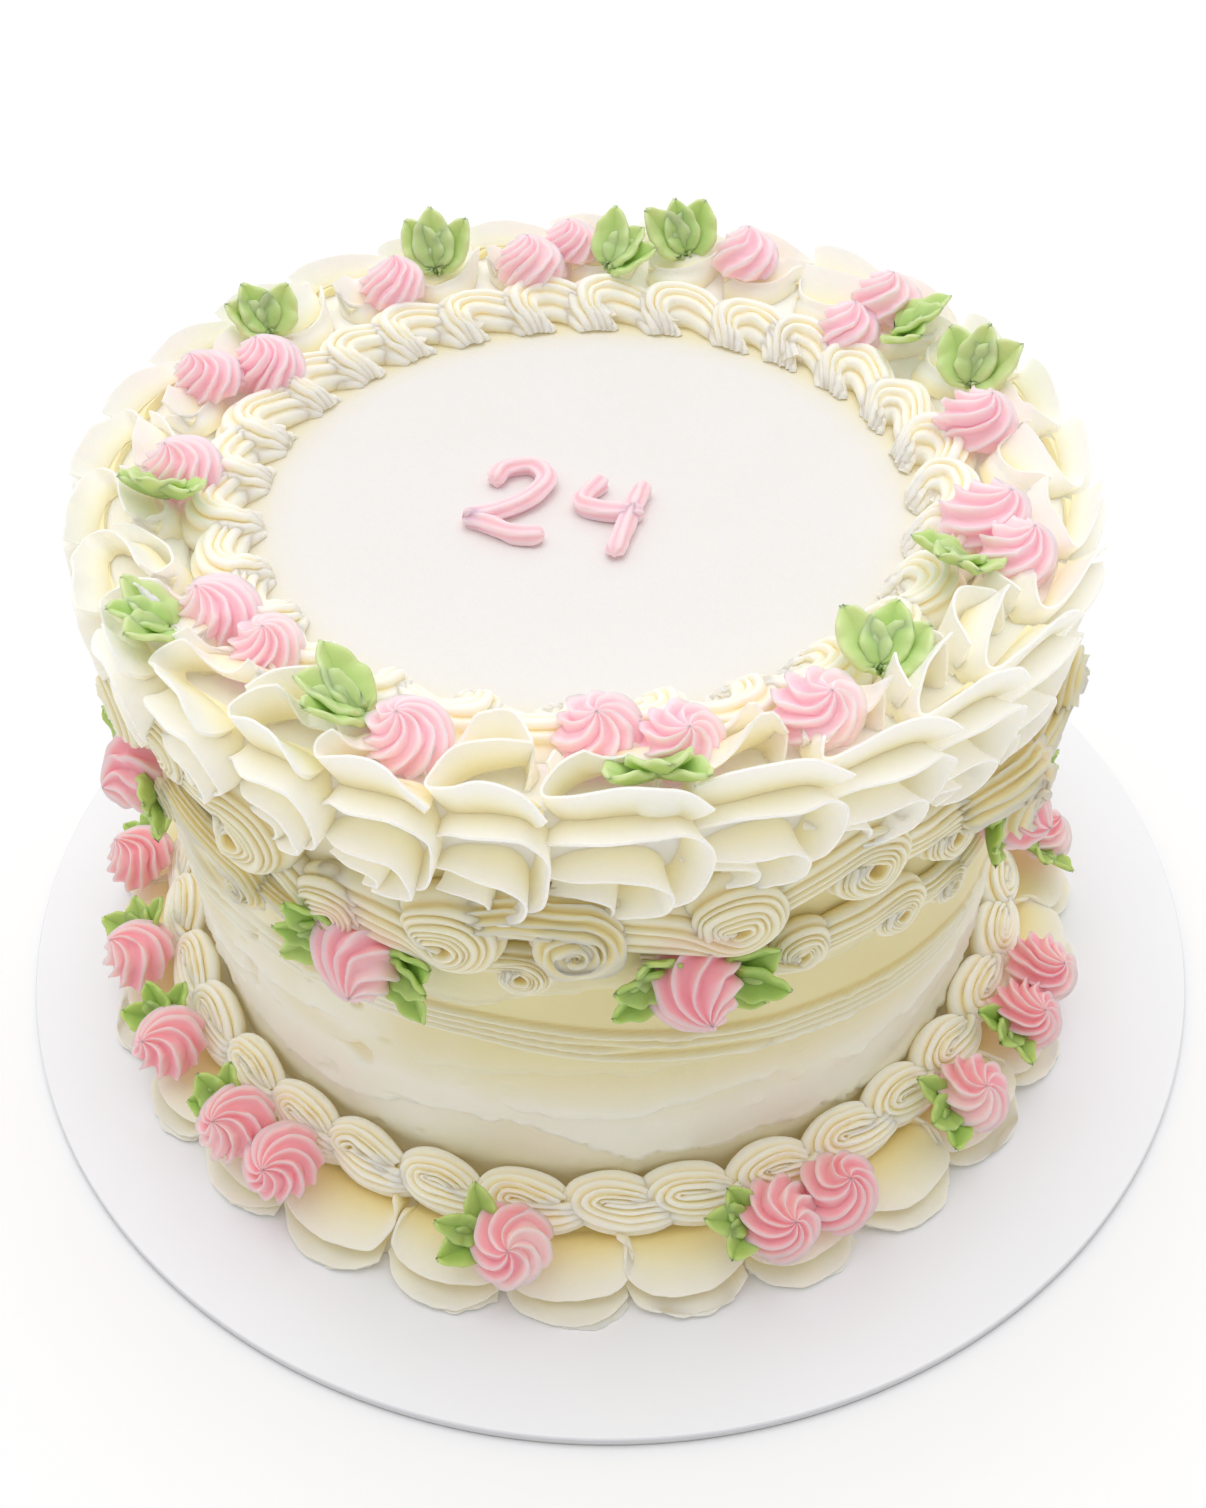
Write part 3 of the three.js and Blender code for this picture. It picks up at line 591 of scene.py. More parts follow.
BASE_SHELF = [
    (0.88, 113.5, 13.8, 0.8, 108.5, 7.4),
    (1.05, 116.8, 13, 0.92, 109, 7.4),
    (1.05, 120.6, 11.2, 0.9, 109, 7.4),
    (0.82, 123.6, 9.7, 0.7, 108.5, 7.4),
    (0.3, 125.4, 8.8, 0.26, 108, 7.4),
    (-0.2, 125.4, 8.6, -0.16, 108, 7.4),
    (-0.66, 123.8, 8.9, -0.56, 108, 7.4),
    (-1, 121, 10.4, -0.84, 108.5, 7.4),
    (-1, 117.2, 13, -0.9, 109, 7.4),
]
BASE_UNDER = [
    (-1.04, 121, 6.2, -0.9, 110, 8.5),
    (-0.74, 125.6, 4.9, -0.66, 109, 8.5),
    (-0.3, 128.2, 4.5, -0.28, 108, 8.5),
    (0.22, 128.6, 4.5, 0.2, 108, 8.5),
    (0.66, 126.8, 4.8, 0.58, 108.5, 8),
    (1, 123.2, 5.6, 0.88, 110, 7.5),
]
BASE_SCRAP = [
    (-0.9, 122, 4.2, -0.8, 112, 5.5),
    (-0.4, 127, 4, -0.36, 112, 5.5),
    (0.2, 129, 3.9, 0.18, 112, 5.5),
    (0.6, 127.6, 4, 0.54, 112, 5.5),
    (0.92, 124.4, 4.1, 0.84, 112, 5.5),
]
# Where the top ruffle's folds end at the right, on the front; elsewhere they are even.
FOLD_ENDS = [-127, -116, -104.6, -94, -80, -67, -55, -45]
EVEN_FOLDS = 22
SCALLOPS = 28


def swag_drop(angle):
    """How far the top ruffle's lower folds hang down, in broad swags."""
    return 2 + 3 * math.cos(math.radians(5 * (angle + 97)))


def settle(angle, r, z):
    """At the sides and the back the top ruffle is lower and drawn in, as in the part's source."""
    share = smooth(40, 80, np.abs((angle + 270) % 360 - 180)) * (z > 100)
    z = z - share * (0.45 * np.maximum(z - 136, 0) + 4 * smooth(96, 88, r) * np.clip((z - 132) / 12, 0, 1))
    return r - 0.35 * share * np.maximum(r - 104, 0), z


def ribbon(parts, rng, knots, middle, half, sag=0.8, ragged=0.08, thick=(3.4, 0.5), shift=None, shade_falloff=2.0):
    """One fold of a ruffle: a sheet from its foot to its thin edge, along a path through the knots. The last
    argument sets how fast the painted shade of the crease at the foot fades towards the edge: the lower it is,
    the further the shade reaches out."""
    k = np.array(knots, float)
    k[:, 0] = k[:, 0] * rng.uniform(0.93, 1.04) + rng.uniform(-0.06, 0.06, len(k))
    k[:, 1] += rng.uniform(-0.5, 0.5, len(k))
    k[:, 2] += rng.uniform(-0.4, 0.4, len(k)) + rng.uniform(-0.8, 0.8)
    if shift is not None:
        k[:, 2] -= shift(k[:, 2])
        k[:, 5] -= shift(k[:, 5])
    curve = curve_through(k, 6)
    run = np.arange(len(curve))
    flutter = noise(np.stack([run / 9.0, 0 * run, 0 * run], -1), 1, rng.uniform(0, 99))
    torn = noise(np.stack([run / 1.7, 0 * run, 0 * run], -1), 1, rng.uniform(0, 99))
    edge_r = curve[:, 1] + 0.4 * flutter + ragged * torn
    v = np.linspace(0, 1, 8)[None, :]
    at = middle + half * (curve[:, 3][:, None] * (1 - v) + curve[:, 0][:, None] * v)
    r = curve[:, 4][:, None] * (1 - v) + edge_r[:, None] * v
    z = curve[:, 5][:, None] * (1 - v) + curve[:, 2][:, None] * v - sag * np.sin(math.pi * v)
    r, z = settle(at, r, z)
    surface = give_way(around(r, at, z))
    thickness = thick[0] + (thick[1] - thick[0]) * v ** 0.6 + 0 * r
    points, faces = closed_sheet(surface, thickness)
    tint = np.zeros((len(points), 3))
    # Painted highlight on the thin outer edge (red); painted shade of the crease, strongest at the foot (blue).
    tint[:, 0] = np.tile((0.3 * v ** 12 * np.ones_like(r)).ravel(), 2)
    tint[:, 1] = stain_near(points)
    tint[:, 2] = np.tile(((1 - v) ** shade_falloff * np.ones_like(r)).ravel(), 2)
    parts.add(points, faces, tint)


def give_way(points):
    """Lowers the points that would stand in front of or inside a rosette or a leaf."""
    for middle, reach in TOP_MIDDLES + FOOT_MIDDLES + LEAF_MIDDLES:
        distance = np.linalg.norm(points[..., :2] - middle[:2], axis=-1)
        ceiling = middle[2] + 0.5 + 14 * smooth(0.85 * reach, 1.7 * reach, distance)
        over = points[..., 2] - ceiling
        above = (over > 0) & (over < 20) & (distance < 1.7 * reach)
        points[..., 2] = np.where(above, ceiling, points[..., 2])
    return points


def ring_core(parts, profile, columns=180):
    """A plain ring behind the folds, so that no gap shows between them."""
    angles = np.linspace(0, 360, columns, endpoint=False)
    profile = np.array(profile, float)
    rings = np.stack([around(r, angles, z) for r, z in profile])
    rows = len(profile)
    index = np.arange(rows)
    quads = []
    for a, b in zip(index, np.roll(index, -1)):
        c = np.arange(columns)
        n = (c + 1) % columns
        quads.append(np.stack([a * columns + c, a * columns + n, b * columns + n, b * columns + c], -1))
    points = rings.reshape(-1, 3)
    parts.add(points, turned_out(points, quads))


def top_ruffle():
    rng = np.random.default_rng(23)
    parts = Parts()
    ends = list(FOLD_ENDS) + list(np.linspace(FOLD_ENDS[-1], FOLD_ENDS[0] + 360, EVEN_FOLDS + 1)[1:-1])
    for k, end in enumerate(ends):
        start = ends[k - 1] if k else ends[-1] - 360
        middle, half = (start + end) / 2, (end - start) / 2
        hang = swag_drop(middle)
        # The painted crease shade reaches further out on the front folds, which get less light, and less far at
        # the sides and back.
        shade_falloff = 1.6 + 1.4 * smooth(25, 60, abs((middle + 277) % 360 - 180))
        for knots in (TOP_FRILL, TOP_COLLAR, TOP_SHELF, TOP_UNDER, TOP_SCRAP):
            ribbon(parts, rng, knots, middle, half, shade_falloff=shade_falloff,
                   shift=lambda z, hang=hang: hang * np.clip((140 - z) / 20, 0, 1))
    ring_core(parts, [(85, 129.4), (100.9, 129.4), (100.9, 118), (101.8, 118), (102.2, 133), (101, 135.5),
                      (96, 134.5), (88, 133.0), (86, 131.5)])
    make_piece("cream_top_ruffle", parts, CREAM, ["top_ruffle"], sharp=70)


def base_ruffle():
    rng = np.random.default_rng(37)
    parts = Parts()
    width = 360 / SCALLOPS
    for k in range(SCALLOPS):
        middle = -99.5 + width * (k + 0.5) + rng.uniform(-0.6, 0.6)
        # On the foot's fans the painted crease shade reaches far out.
        ribbon(parts, rng, BASE_SHELF, middle, width / 2, -2.4, 0.15, thick=(2.6, 0.5), shade_falloff=1.3)
        ribbon(parts, rng, BASE_UNDER, middle, width / 2, 0.3, 0.2, thick=(2.4, 0.5), shade_falloff=1.0)
        ribbon(parts, rng, BASE_SCRAP, middle, width / 2, 0.0, 0.5, thick=(1.6, 0.4))
    ring_core(parts, [(99.4, 3.2), (120, 3.2), (117, 6), (112, 6.8), (99.4, 10)])
    make_piece("cream_base_ruffle", parts, FOOT_CREAM, ["base_ruffle"], sharp=70)


def base_shells():
    rng = np.random.default_rng(41)
    parts = Parts()
    count = 36
    for k in range(count):
        place = (105.0, -94 + 360 / count * (k + 0.62) + rng.uniform(-0.8, 0.8), 15.2, 44)
        shell(parts, rng, place, FOOT_SHELL)
    make_piece("cream_base_shells", parts, FOOT_CREAM, ["base_shell_border"], sharp=80)


# The scrolls on the wall, for each head: its angle, height and size, the turns of its curl in degrees, and 1
# for a tail along its foot or -1 for a tail along its top.
UPPER_HEADS = [(-139.5, 120, 1.0, 300, -1), (-127.5, 113, 1.15, 250, 1), (-117.5, 101, 1.0, 250, -1),
               (-104.5, 104, 1.15, 300, -1), (-91.2, 106.5, 1.1, 620, -1), (-75.5, 107, 1.1, 280, -1),
               (-60.5, 111, 1.1, 250, 1), (-48, 104, 0.9, 260, 1), (-35.6, 98, 1.3, 520, -1)]
LOWER_HEADS = [(-97, 93, 0.9, 250, 1), (-67, 90, 1.0, 230, -1), (-54, 88, 1.0, 250, 1), (-44, 82, 0.8, 250, 1)]


def garland_heads(front, step, height, swing, rng):
    """The heads on the front, then even ones for the rest of the way round."""
    heads = list(front)
    last, first = front[-1][0], front[0][0] + 360
    count = round((first - last) / step)
    for angle in np.linspace(last, first, count + 1)[1:-1]:
        z = height + swing * math.cos(math.radians(5 * (angle + 112))) + rng.uniform(-2, 2)
        turns = rng.choice([250, 280, 540])
        heads.append((angle + rng.uniform(-1, 1), z, rng.uniform(0.9, 1.2), turns, rng.choice([-1, -1, 1])))
    return heads


def garland(name, node, heads, curl, thickness, rng):
    parts = Parts()
    for k, (angle, height, size, turns, side) in enumerate(heads):
        before = heads[k - 1]
        gap = min((angle - before[0]) % 360, 17)
        climb = np.clip(before[1] - height, -9, 9) if gap < 17 else 3
        reach = math.radians(gap) * (CAKE_R + 3)
        level = curl * size
        place = (CAKE_R + 0.2, angle, height, 90)
        if turns < 500:
            shell(parts, rng, place, scroll_form(1.36 * level, reach, climb, -side))
            continue
        toward = -side * climb
        tail = [(-0.3 * reach, level * 1.05 + 0.1 * toward), (-0.62 * reach, 0.9 * level + 0.45 * toward),
                (-0.95 * reach, 0.6 * level + 0.9 * toward)]
        scroll(parts, rng, place, level, thickness * size, tail, turned=turns, flip=side)
    for k, points in enumerate(parts.points):
        parts.tints[k][:, 1] = stain_near(points, 0.9)
    make_piece(name, parts, SHADED_GARLAND_CREAM, [node])


def garlands():
    rng = np.random.default_rng(53)
    garland("cream_upper_garland", "upper_scroll_garland", garland_heads(UPPER_HEADS, 15, 109, -4, rng), 4.8,
            5.0, rng)
    garland("cream_lower_garland", "lower_scroll_garland", garland_heads(LOWER_HEADS, 17, 90, -3, rng), 3.4,
            3.4, rng)


# Rosettes: a low dome of sharp ridges that turn in to the middle.
def rosette_points(radius, rng, pale, toward):
    ridges = int(rng.integers(8, 11))
    twist = rng.uniform(1.7, 2.4)
    per_ridge, rows = 8, 26
    height = 1.12 * radius
    swing = np.linspace(-0.42, math.pi / 2, rows)[:, None]
    share = np.linspace(0, 1, rows)[:, None]
    t = np.arange(ridges * per_ridge) / per_ridge
    part = t % 1
    skew = 0.38
    away = np.where(part < skew, (skew - part) / skew, (part - skew) / (1 - skew))[None, :]
    groove = np.sin(math.pi / 2 * away) ** 0.8
    each = np.repeat(rng.uniform(0.8, 1.2, ridges), per_ridge)[None, :]
    reach = np.repeat(rng.uniform(0.95, 1.04, ridges), per_ridge)[None, :]
    depth = radius * 0.26 * each * np.interp(share, [0, 0.25, 0.8, 0.97, 1], [0.7, 1, 0.95, 0.35, 0.1])
    out = radius * np.cos(swing) ** 0.82
    up = height * (np.sin(swing) + 0.4) / 1.4
    lean_out = np.cos(swing)
    lean_up = np.sin(swing)
    r = out * reach - depth * groove * np.maximum(lean_out, 0.15)
    z = up - depth * groove * np.maximum(lean_up, 0) * 0.9
    z = z + 0.12 * radius * smooth(0.62, 1.0, share) ** 2
    a = 2 * math.pi * t[None, :] / ridges + twist * share ** 1.15
    off = rng.uniform(0.05, 0.32) * radius * share ** 2
    if toward is None:
        toward = rng.uniform(0, 2 * math.pi)
    else:
        off = 0.4 * radius * share ** 2
        r = r * (1 - 0.10 * np.cos(2 * math.pi * t[None, :] / ridges - toward))
    base = 2 * math.pi * t / ridges
    around_axis = np.stack([2 * np.cos(base), 2 * np.sin(base), 0 * t], -1)
    a = a + 0.9 / ridges * noise(around_axis, 1, rng.uniform(0, 99))[None, :]
    spots = 1.6 * around_axis[None, :] + np.array([0, 0, 7]) * share[..., None]
    a = a + 0.9 / ridges * noise(spots, 1, rng.uniform(0, 99)) * smooth(0, 0.3, share)
    x = r * np.cos(a) + off * math.cos(toward)
    y = r * np.sin(a) + off * math.sin(toward)
    rings = np.stack([x, y, z + 0 * x], -1)
    rings = rings + 0.3 * noise(rings + 50, 4, rng.uniform(0, 99))[..., None]
    points, faces = closed_tube(rings)
    tint = np.zeros((len(points), 3))
    # Painted highlight on the ridges' crests.
    crest = (1 - groove) ** 1.6 * np.ones_like(r)
    tint[: crest.size, 0] = crest.ravel()
    sector = np.cos(2 * math.pi * t[None, :] / ridges - toward) * np.ones_like(r)
    tint[: crest.size, 1] = (pale * smooth(0.1, 0.75, sector + 0.25 * crest)).ravel()
    return points, faces, tint


def rotation(degrees, axis):
    return Matrix.Rotation(math.radians(degrees), 4, axis)


def seat(radius, angle, height, tilt, turn=0.0):
    """The place of a piece: its foot at a point, its own +Z leaning outward."""
    return (Matrix.Translation(Vector(around(radius, angle, height).tolist()))
            @ rotation(angle, "Z")
            @ rotation(tilt, "Y")
            @ rotation(turn, "Z"))


def moved(points, matrix):
    m = np.array(matrix)
    return points @ m[:3, :3].T + m[:3, 3]


def rosette(parts, rng, size, matrix, pale, toward=None):
    points, faces, tint = rosette_points(size, rng, pale, toward)
    parts.add(moved(points, matrix), faces, tint)


# Leaves: folded along the middle, with a raised wavy edge and a pointed tip.
def leaf(parts, rng, length, width, matrix):
    rows, columns = 18, 11
    u = np.linspace(0, 1, rows)[:, None]
    w = np.linspace(-1, 1, columns)[None, :]
    half = width / 2 * (np.sin(math.pi * u ** 0.8) ** 0.6 * (1 - 0.1 * u) + 0.2 * (1 - u))
    x = length * (u + 0.05 * np.abs(w) * (1 - u)) + 0 * w
    waves = 0.45 * np.sin(2 * math.pi * (2.6 * u + rng.uniform(0, 1)) + 1.3 * np.sign(w)) * np.abs(w) ** 2
    pulses = 0.3 * np.sin(2 * math.pi * (4 * u + 0.5 * np.abs(w))) * np.abs(w) ** 0.5 * (1 - u)
    fold = (0.42 * half) * np.abs(w) ** 1.15
    curl = 0.22 * length * u ** 2 * rng.uniform(0.5, 1.3)
    rib = -0.45 * np.exp(-((w / 0.2) ** 2)) * (1 - u ** 3)
    y = half * w * (1 - 0.12 * np.abs(w))
    z = fold + curl + waves + pulses + rib
    surface = np.stack([x, y + 0 * x, z], -1)
    thickness = 1.9 - 0.8 * np.abs(w) ** 3 + 0 * u
    thickness = thickness * (1 - 0.45 * u)
    points, faces = closed_sheet(surface, thickness)
    tint = np.zeros((len(points), 3))
    edge = np.abs(w) ** 3 * np.ones_like(x)
    paleness = rng.uniform(0, 0.4)
    # Lighter on the raised edges, a painted highlight, and a little lighter towards the tip (red); painted shade
    # along the middle groove (blue).
    tint[:, 0] = np.tile((0.75 * edge + 0.25 * u).ravel(), 2)
    tint[:, 1] = paleness * (0.5 + 0.5 * np.tile(u.repeat(columns, 1).ravel(), 2))
    tint[:, 2] = np.tile((0.6 * np.exp(-((w / 0.2) ** 2)) * (1 - u)).ravel(), 2)
    parts.add(moved(points, matrix), faces, tint)


def spray(parts, rng, matrix, length, width, splays):
    """Leaves from one stem, each in its own direction."""
    for k, splay in enumerate(splays):
        turn = rotation(splay + rng.uniform(-8, 8), "Z")
        lift = rotation(-rng.uniform(4, 16), "Y")
        raised = Matrix.Translation((0, 0, 0.5 * k))
        leaf(parts, rng, length * rng.uniform(0.85, 1.1), width * rng.uniform(0.9, 1.15),
             matrix @ raised @ turn @ lift)


def top_rosette_seat(angle, radius):
    height = TOP_SEAT["height"] + TOP_SEAT["lift"] * max(0, radius - 84)
    return seat(radius, angle, height, TOP_SEAT["tilt"])


def foot_seat(angle):
    return seat(BASE_SEAT["radius"], angle, BASE_SEAT["height"], BASE_SEAT["tilt"])


# The middles of what stands in the borders, and how far round each the sheets of a ruffle have to give way.
TOP_MIDDLES = [(np.array(top_rosette_seat(a, r) @ Vector((0, 0, 3))), 10.0)
               for flower in TOP_FLOWERS for a, r, _ in flower["rosettes"]]
FOOT_MIDDLES = [(np.array(foot_seat(a) @ Vector((0, 0, 2))), 10.0) for group in BASE_FLOWERS for a in group]
LEAF_MIDDLES = [(around(flower["leaf"][1], flower["leaf"][0], TOP_SEAT["height"] + 3.5), 5.5)
                for flower in TOP_FLOWERS]
SIDE_MIDDLES = [(np.array(seat(SIDE_SEAT["reach"], a, SIDE_SEAT["height"] + 5, 0).translation), 0)
                for a in SIDE_ANGLES]


def stain_near(points, strength=0.4):
    """Where cream is next to a rosette, a little of its colour has run into it."""
    near = np.full(len(points), 1e9)
    for middle, _ in TOP_MIDDLES + FOOT_MIDDLES + SIDE_MIDDLES:
        near = np.minimum(near, np.linalg.norm(points - middle, axis=1))
    patchy = 0.5 + 0.5 * noise(points, 7, 3)
    return strength * patchy * smooth(13.5, 9, near)


def top_flowers():
    rng = np.random.default_rng(71)
    for k, flower in enumerate(TOP_FLOWERS, 1):
        pink = Parts()
        for angle, radius, size in flower["rosettes"]:
            rosette(pink, rng, size, top_rosette_seat(angle, radius), pale=rng.uniform(0, 0.35))
        make_piece(f"pink_top_{k:02d}", pink, PINK, [f"top_rosette_{k:02d}"])
        angle, radius, pointing, slope = flower["leaf"]
        stem = seat(radius, angle, TOP_SEAT["height"] + 4.2, -6, pointing)
        stem = stem @ Matrix.Translation((-5.6, 0, 0)) @ rotation(-slope, "Y")
        green = Parts()
        spray(green, rng, stem, 14, 10.5, (-40, 36, 0))
        make_piece(f"green_top_{k:02d}", green, GREEN, [f"top_leaf_{k:02d}"])


def side_flowers():
    rng = np.random.default_rng(83)
    size = SIDE_SEAT["size"]
    for k, angle in enumerate(SIDE_ANGLES, 1):
        middle = seat(SIDE_SEAT["reach"], angle, SIDE_SEAT["height"], SIDE_SEAT["tilt"])
        pink, green = Parts(), Parts()
        rosette(pink, rng, size, middle, pale=rng.uniform(0, 0.4), toward=rng.uniform(-0.5, 0.5))
        for turn in (-100, 80):
            stem = middle @ rotation(turn, "Z") @ Matrix.Translation((0.55 * size, 0, 1.2))
            spray(green, rng, stem, 13, 9, (-42, 38, 4))
        make_piece(f"pink_side_{k:02d}", pink, SIDE_PINK, [f"side_flower_{k:02d}"])
        make_piece(f"green_side_{k:02d}", green, SIDE_GREEN)


def base_flowers():
    rng = np.random.default_rng(97)
    size = BASE_SEAT["size"]
    for k, angles in enumerate(BASE_FLOWERS, 1):
        pink, green = Parts(), Parts()
        seats = [foot_seat(a) for a in angles]
        for matrix in seats:
            rosette(pink, rng, size, matrix, pale=rng.uniform(0, 0.7))
        stem = seats[0] @ rotation(-100, "Z") @ Matrix.Translation((0.6 * size, 0, 1.5))
        spray(green, rng, stem, 11, 7.5, (-55, 45, -5))
        make_piece(f"pink_base_{k:02d}", pink, SIDE_PINK, [f"base_flower_{k:02d}"])
        make_piece(f"green_base_{k:02d}", green, SIDE_GREEN)


# The iced cake: a smooth top, and a wall with spatula strokes and combed lines.
# The lines on the wall, by angle: the height of the combed lines, and of the lowest smear's torn edge.
COMB_ANGLES = [-180, -150, -127, -107, -89, -57, -42, -20, 10, 40, 80, 120, 150]
COMB_HEIGHTS = [64, 66, 69, 71, 66, 58, 50, 56, 66, 60, 68, 60, 66]
SMEAR_ANGLES = [-180, -150, -126, -115, -105, -94, -81, -69, -44, -10, 40, 90, 140]
SMEAR_HEIGHTS = [34, 26, 27, 31, 47, 38, 17, 31, 15, 30, 22, 36, 26]


def line_height(angle, angles, heights):
    """The height of a line on the wall at each angle, smoothed over its knots."""
    shifts = range(-12, 13, 4)
    return sum(np.interp(angle + shift, angles, heights, period=360) for shift in shifts) / len(shifts)


def wall_relief(angle, z):
    """How far the icing stands out of the wall in millimetres, how much painted shade it gets, in creases, pits
    and round the combed ridges, and how much paler it is painted: near the torn edge of a smear (partly its own
    tone, partly a painted highlight), on the combed crests and on the left side (painted light)."""
    angle = (angle + 180) % 360 - 180
    spot = np.stack([CAKE_R * np.cos(np.radians(angle)), CAKE_R * np.sin(np.radians(angle)), z], -1)
    flat = spot * (1, 1, 0)
    broad = 0.8 * noise(spot * (0.45, 0.45, 1.0), 13, 5)
    streak = 0.4 * noise(spot * (0.16, 0.16, 1.0), 2.2, 8) * smooth(-0.4, 0.5, noise(spot, 30, 9))
    bumps = 0.5 * smooth(0.5, 0.8, noise(spot, 4.5, 15))
    sweep = line_height(angle, COMB_ANGLES, COMB_HEIGHTS) + 1.0 * noise(flat, 25, 12)
    comb, crease_shade, pale = 0, 0, 0
    for k, offset in enumerate((0, 2.2, 4.4, 6.8)):
        strength = smooth(-0.55, -0.2, noise(flat + 17 * k, 36, 20 + k))
        from_line = z - sweep - offset + 3
        comb = comb + 1.3 * strength * np.exp(-np.abs(from_line / 0.85) ** 3)
        # Each combed ridge gets painted shade just below it and a painted highlight on its crest.
        crease_shade = crease_shade + strength * np.exp(-(((from_line - 1.25) / 0.55) ** 2))
        pale = pale + 0.75 * strength * np.exp(-((from_line / 0.6) ** 2))
    # Painted shade just above the combed band, in places.
    crease_shade = crease_shade + 0.8 * smooth(-0.5, 0.2, noise(flat, 40, 33)) * np.exp(-(((z - sweep - 5.4) / 0.7) ** 2))
    plates = 0
    lowest = line_height(angle, SMEAR_ANGLES, SMEAR_HEIGHTS)
    for k, (level, swing, thickness, fade, whiteness) in enumerate(
            ((lowest, 2, 1.1, 11, 0.75), (45, 7, 0.8, 4, 0.4), (57, 5, 0.6, 3, 0.3), (82, 4, 0.9, 5, 0.5))):
        torn = 2.6 * np.abs(noise(flat, 8, 50 + k)) + 1.0 * noise(flat, 2.6, 60 + k)
        up = z - (level + swing * noise(flat, 31, 40 + k) - torn)
        there = 1 if k == 0 else smooth(-0.5, 0.1, noise(flat, 24, 70 + k))
        edge = smooth(-0.3, 0.3, up) * there
        plates = plates + thickness * edge * np.exp(-np.maximum(up, 0) / 16)
        plates = plates + 0.4 * there * np.exp(-(((up - 0.5) / 0.5) ** 2))
        # Paler just above each torn edge, fading upward: partly the smear's own lighter tone, partly a painted
        # highlight on the edge.
        pale = pale + whiteness * edge * np.exp(-np.maximum(up, 0) / fade)
        if k == 0:
            # Painted shade below the lowest smear's edge.
            crease_shade = crease_shade + 0.2 * smooth(0.3, -0.6, up)
    left = smooth(40, 18, np.abs((angle + 140 + 180) % 360 - 180))
    pits = smooth(0.55, 0.8, noise(spot * (1, 1, 1.4), 5.5, 91)) * left
    relief = broad + streak + bumps + comb + plates - 0.9 * pits
    # The left side is painted paler, as if lit from that side, and painted shade fills the pits and the low
    # parts of the strokes.
    pale = pale + left * (0.3 + 0.5 * smooth(-0.6, 0.4, noise(spot, 12, 92)))
    crease_shade = crease_shade + 0.7 * pits + 0.25 * smooth(0.2, -0.9, broad + streak)
    return relief, np.clip(crease_shade, 0, 1), np.clip(pale - 0.6 * pits, 0, 1)


def iced_cake():
    columns = 640
    angle = np.linspace(0, 360, columns, endpoint=False)[None, :]
    rows = [[BOARD_TOP + 0.2], np.linspace(10, 32, 20), np.linspace(32.6, 84, 92), np.linspace(85.5, 122, 22)]
    heights = np.concatenate(rows)[:, None]
    z = heights + 0 * angle
    shown = smooth(10, 16, z) * smooth(126, 118, z)
    relief, crease_shade, pale = wall_relief(angle + 0 * z, z)
    wall = around(CAKE_R - 0.8 + shown * relief, angle, z)
    top = [around(r, angle[0], z) for r, z in ((CAKE_R - 0.8, CAKE_TOP - 2), (CAKE_R - 2.5, CAKE_TOP))]
    for r in (88, 80, 75, 71, 67, 62, 54, 40, 24, 8):
        ring = around(r, angle[0], CAKE_TOP)
        ring[:, 2] += 0.1 * noise(ring, 22, 61) + 0.02
        top.append(ring)
    rings = np.concatenate([wall, np.stack(top)])
    points, faces = closed_tube(rings)
    tint = np.zeros((len(points), 3))
    height = points[:, 2]
    middle = np.hypot(points[:, 0] - CAKE_X, points[:, 1])
    # Red: on the top, a painted warm shade next to the shells, stronger towards the back; on the wall, its
    # darker, yellower tone, painted shade under the ruffle's overhang.
    behind = 0.3 + 0.4 * smooth(-50, 50, points[:, 1])
    tint[:, 0] = np.where(height > CAKE_TOP - 1, behind * smooth(64, 74, middle), 1)
    # Green: paler where the relief paints it so, and paler low on the wall, painted light for a part that gets
    # less of it.
    tint[: pale.size, 1] = (0.9 * pale + 0.75 * smooth(62, 34, z)).ravel()
    # Blue: painted shade in the wall's creases.
    tint[: crease_shade.size, 2] = 0.85 * crease_shade.ravel()
    parts = Parts()
    parts.add(points, faces, tint)
    make_piece("iced_body", parts, ICING, ["iced_cake"])


def cake_card():
    columns = 256
    angles = np.radians(np.linspace(0, 360, columns, endpoint=False))
    profile = [(BOARD_R - 0.35, 0, 1), (BOARD_R, 0.3, 1), (BOARD_R, 0.7, 1), (BOARD_R, 0.9, 0.45),
               (BOARD_R, BOARD_TOP - 0.35, 0.3), (BOARD_R - 0.35, BOARD_TOP, 0), (BOARD_R - 20, BOARD_TOP, 0),
               (BOARD_R - 60, BOARD_TOP, 0)]
    rings = np.stack([np.stack([r * np.cos(angles), r * np.sin(angles), np.full(columns, z)], -1)
                      for r, z, _ in profile])
    points, faces = closed_tube(rings)
    tint = np.zeros((len(points), 3))
    tint[: rings[..., 0].size, 0] = np.repeat([grey for _, _, grey in profile], columns)
    parts = Parts()
    parts.add(points, faces, tint)
    make_piece("white_cake_card", parts, CARD, ["cake_board"], sharp=30)


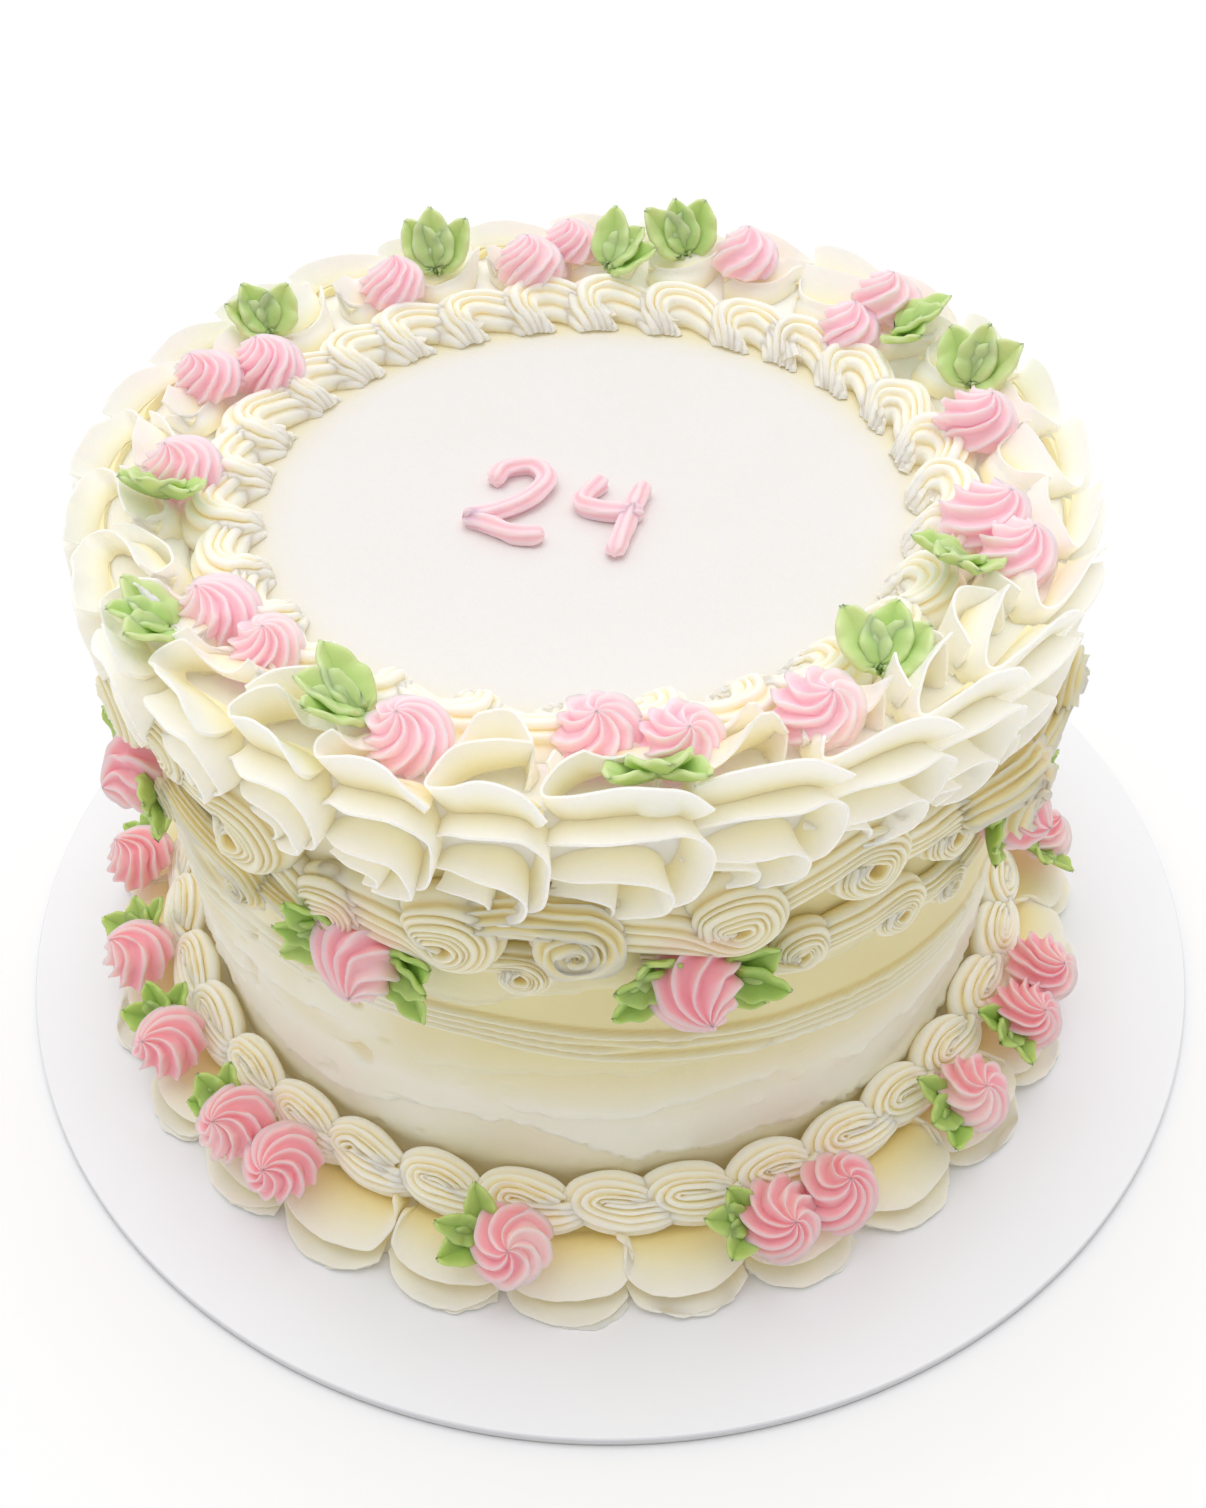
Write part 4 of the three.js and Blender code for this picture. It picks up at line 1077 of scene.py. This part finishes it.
# Digits: piped strokes of pink on the smooth top, the same curves as in the part's source.
def digits():
    rng = np.random.default_rng(5)
    strokes = {
        "digit_two": [[(-24.5, 2.5), (-22, 7.5), (-16, 8.5), (-12.8, 3), (-16.5, -4), (-23, -8.5), (-30.5, -11)],
                      [(-30.2, -10), (-26, -12.2), (-19.5, -16.2), (-13, -17)]],
        "digit_four": [[(-0.6, 3), (-5.2, -5.5), (1, -9), (8, -9.8)],
                       [(8.6, 0.8), (5.6, -8), (1.2, -24)]],
    }
    for node, lines in strokes.items():
        parts = Parts()
        for line in lines:
            flat = curve_through(np.array(line), 12)
            s = np.linspace(0, 1, len(flat))
            run = np.concatenate([[0], np.cumsum(np.linalg.norm(np.diff(flat, axis=0), axis=1))])
            from_end = np.clip(np.minimum(run, run[-1] - run) / 1.8, 0, 1)
            ends = np.sqrt(1 - (1 - from_end) ** 2)
            wavy = 0.10 * noise(np.stack([s * 7, 0 * s, 0 * s], -1), 1, rng.uniform(0, 99))
            radius = 2.3 * (0.25 + 0.75 * ends) * (1 + wavy)
            path = np.column_stack([flat, CAKE_TOP + 1.9 + 0 * s])
            up = np.tile([0.0, 0.0, 1.0], (len(path), 1))
            parts.add(*rope(path, up, radius, rng, lobes=5, depth=0.24, per_lobe=8, soft=1.6, twist=0.9,
                            wave=0.16, squash=0.95))
        make_piece(f"pink_{node}", parts, PALE_PINK, [node])


# The studio: a pale floor, soft light from above and the photo's camera.
def studio():
    scene = bpy.context.scene
    scene.view_settings.view_transform = "Standard"
    bpy.ops.mesh.primitive_plane_add(size=60)
    floor = bpy.context.object
    floor.name = "floor"
    material, _, shader = new_material("floor_white")
    shader.inputs["Base Color"].default_value = (0.97, 0.97, 0.985, 1)
    shader.inputs["Roughness"].default_value = 0.9
    shader.inputs["Specular IOR Level"].default_value = 0.2
    floor.data.materials.append(material)
    world = bpy.data.worlds.new("studio")
    world.use_nodes = True
    tree = world.node_tree
    place = add_node(tree, "ShaderNodeTexCoord")
    split = add_node(tree, "ShaderNodeSeparateXYZ")
    tree.links.new(place.outputs["Generated"], split.inputs["Vector"])
    sky = ramp_node(tree, split.outputs["Z"], [(0.0, (0.45,) * 3), (0.5, (0.86,) * 3), (1.0, (1.0,) * 3)])
    tree.links.new(sky, tree.nodes["Background"].inputs["Color"])
    to_socket = tree.nodes["Background"].inputs["Strength"]
    for axis, more in (("Y", 0.32), ("X", -0.06)):
        side = add_node(tree, "ShaderNodeMath", operation="MULTIPLY_ADD")
        tree.links.new(split.outputs[axis], side.inputs[0])
        side.inputs[1].default_value = more
        tree.links.new(side.outputs["Value"], to_socket)
        to_socket = side.inputs[2]
    to_socket.default_value = 0.93
    scene.world = world
    add_sun(SUN["toward"], SUN["spread"], SUN["strength"])


def add_sun(toward, spread, strength):
    """A wide, soft sun shining from the given direction, with an even light over the whole floor."""
    data = bpy.data.lights.new("overhead", "SUN")
    data.angle = math.radians(spread)
    data.energy = strength
    light = bpy.data.objects.new("overhead", data)
    light.location = toward
    light.rotation_euler = (-Vector(toward)).to_track_quat("-Z", "Y").to_euler()
    bpy.context.scene.collection.objects.link(light)


def camera():
    data = bpy.data.cameras.new("camera")
    data.lens = CAMERA["lens"]
    data.sensor_width = 36
    data.clip_start, data.clip_end = 0.01, 20
    pitch, roll = math.radians(CAMERA["pitch"]), math.radians(CAMERA["roll"])
    ahead = Vector((0, math.cos(pitch), -math.sin(pitch)))
    level = Vector((1, 0, 0))
    above = Vector((0, math.sin(pitch), math.cos(pitch)))
    right = math.cos(roll) * level + math.sin(roll) * above
    up = math.cos(roll) * above - math.sin(roll) * level
    turn = Matrix((right, up, -ahead)).transposed().to_4x4()
    eye = bpy.data.objects.new("camera", data)
    eye.matrix_world = Matrix.Translation(Vector(CAMERA["place"]) * MM) @ turn
    bpy.context.scene.collection.objects.link(eye)
    bpy.context.scene.camera = eye


def clear_defaults():
    for name in ("Cube", "Light", "Camera"):
        thing = bpy.data.objects.get(name)
        if thing is not None:
            bpy.data.objects.remove(thing)


clear_defaults()
camera()
studio()
cake_card()
iced_cake()
base_shells()
base_ruffle()
top_shells()
top_ruffle()
garlands()
top_flowers()
side_flowers()
base_flowers()
digits()
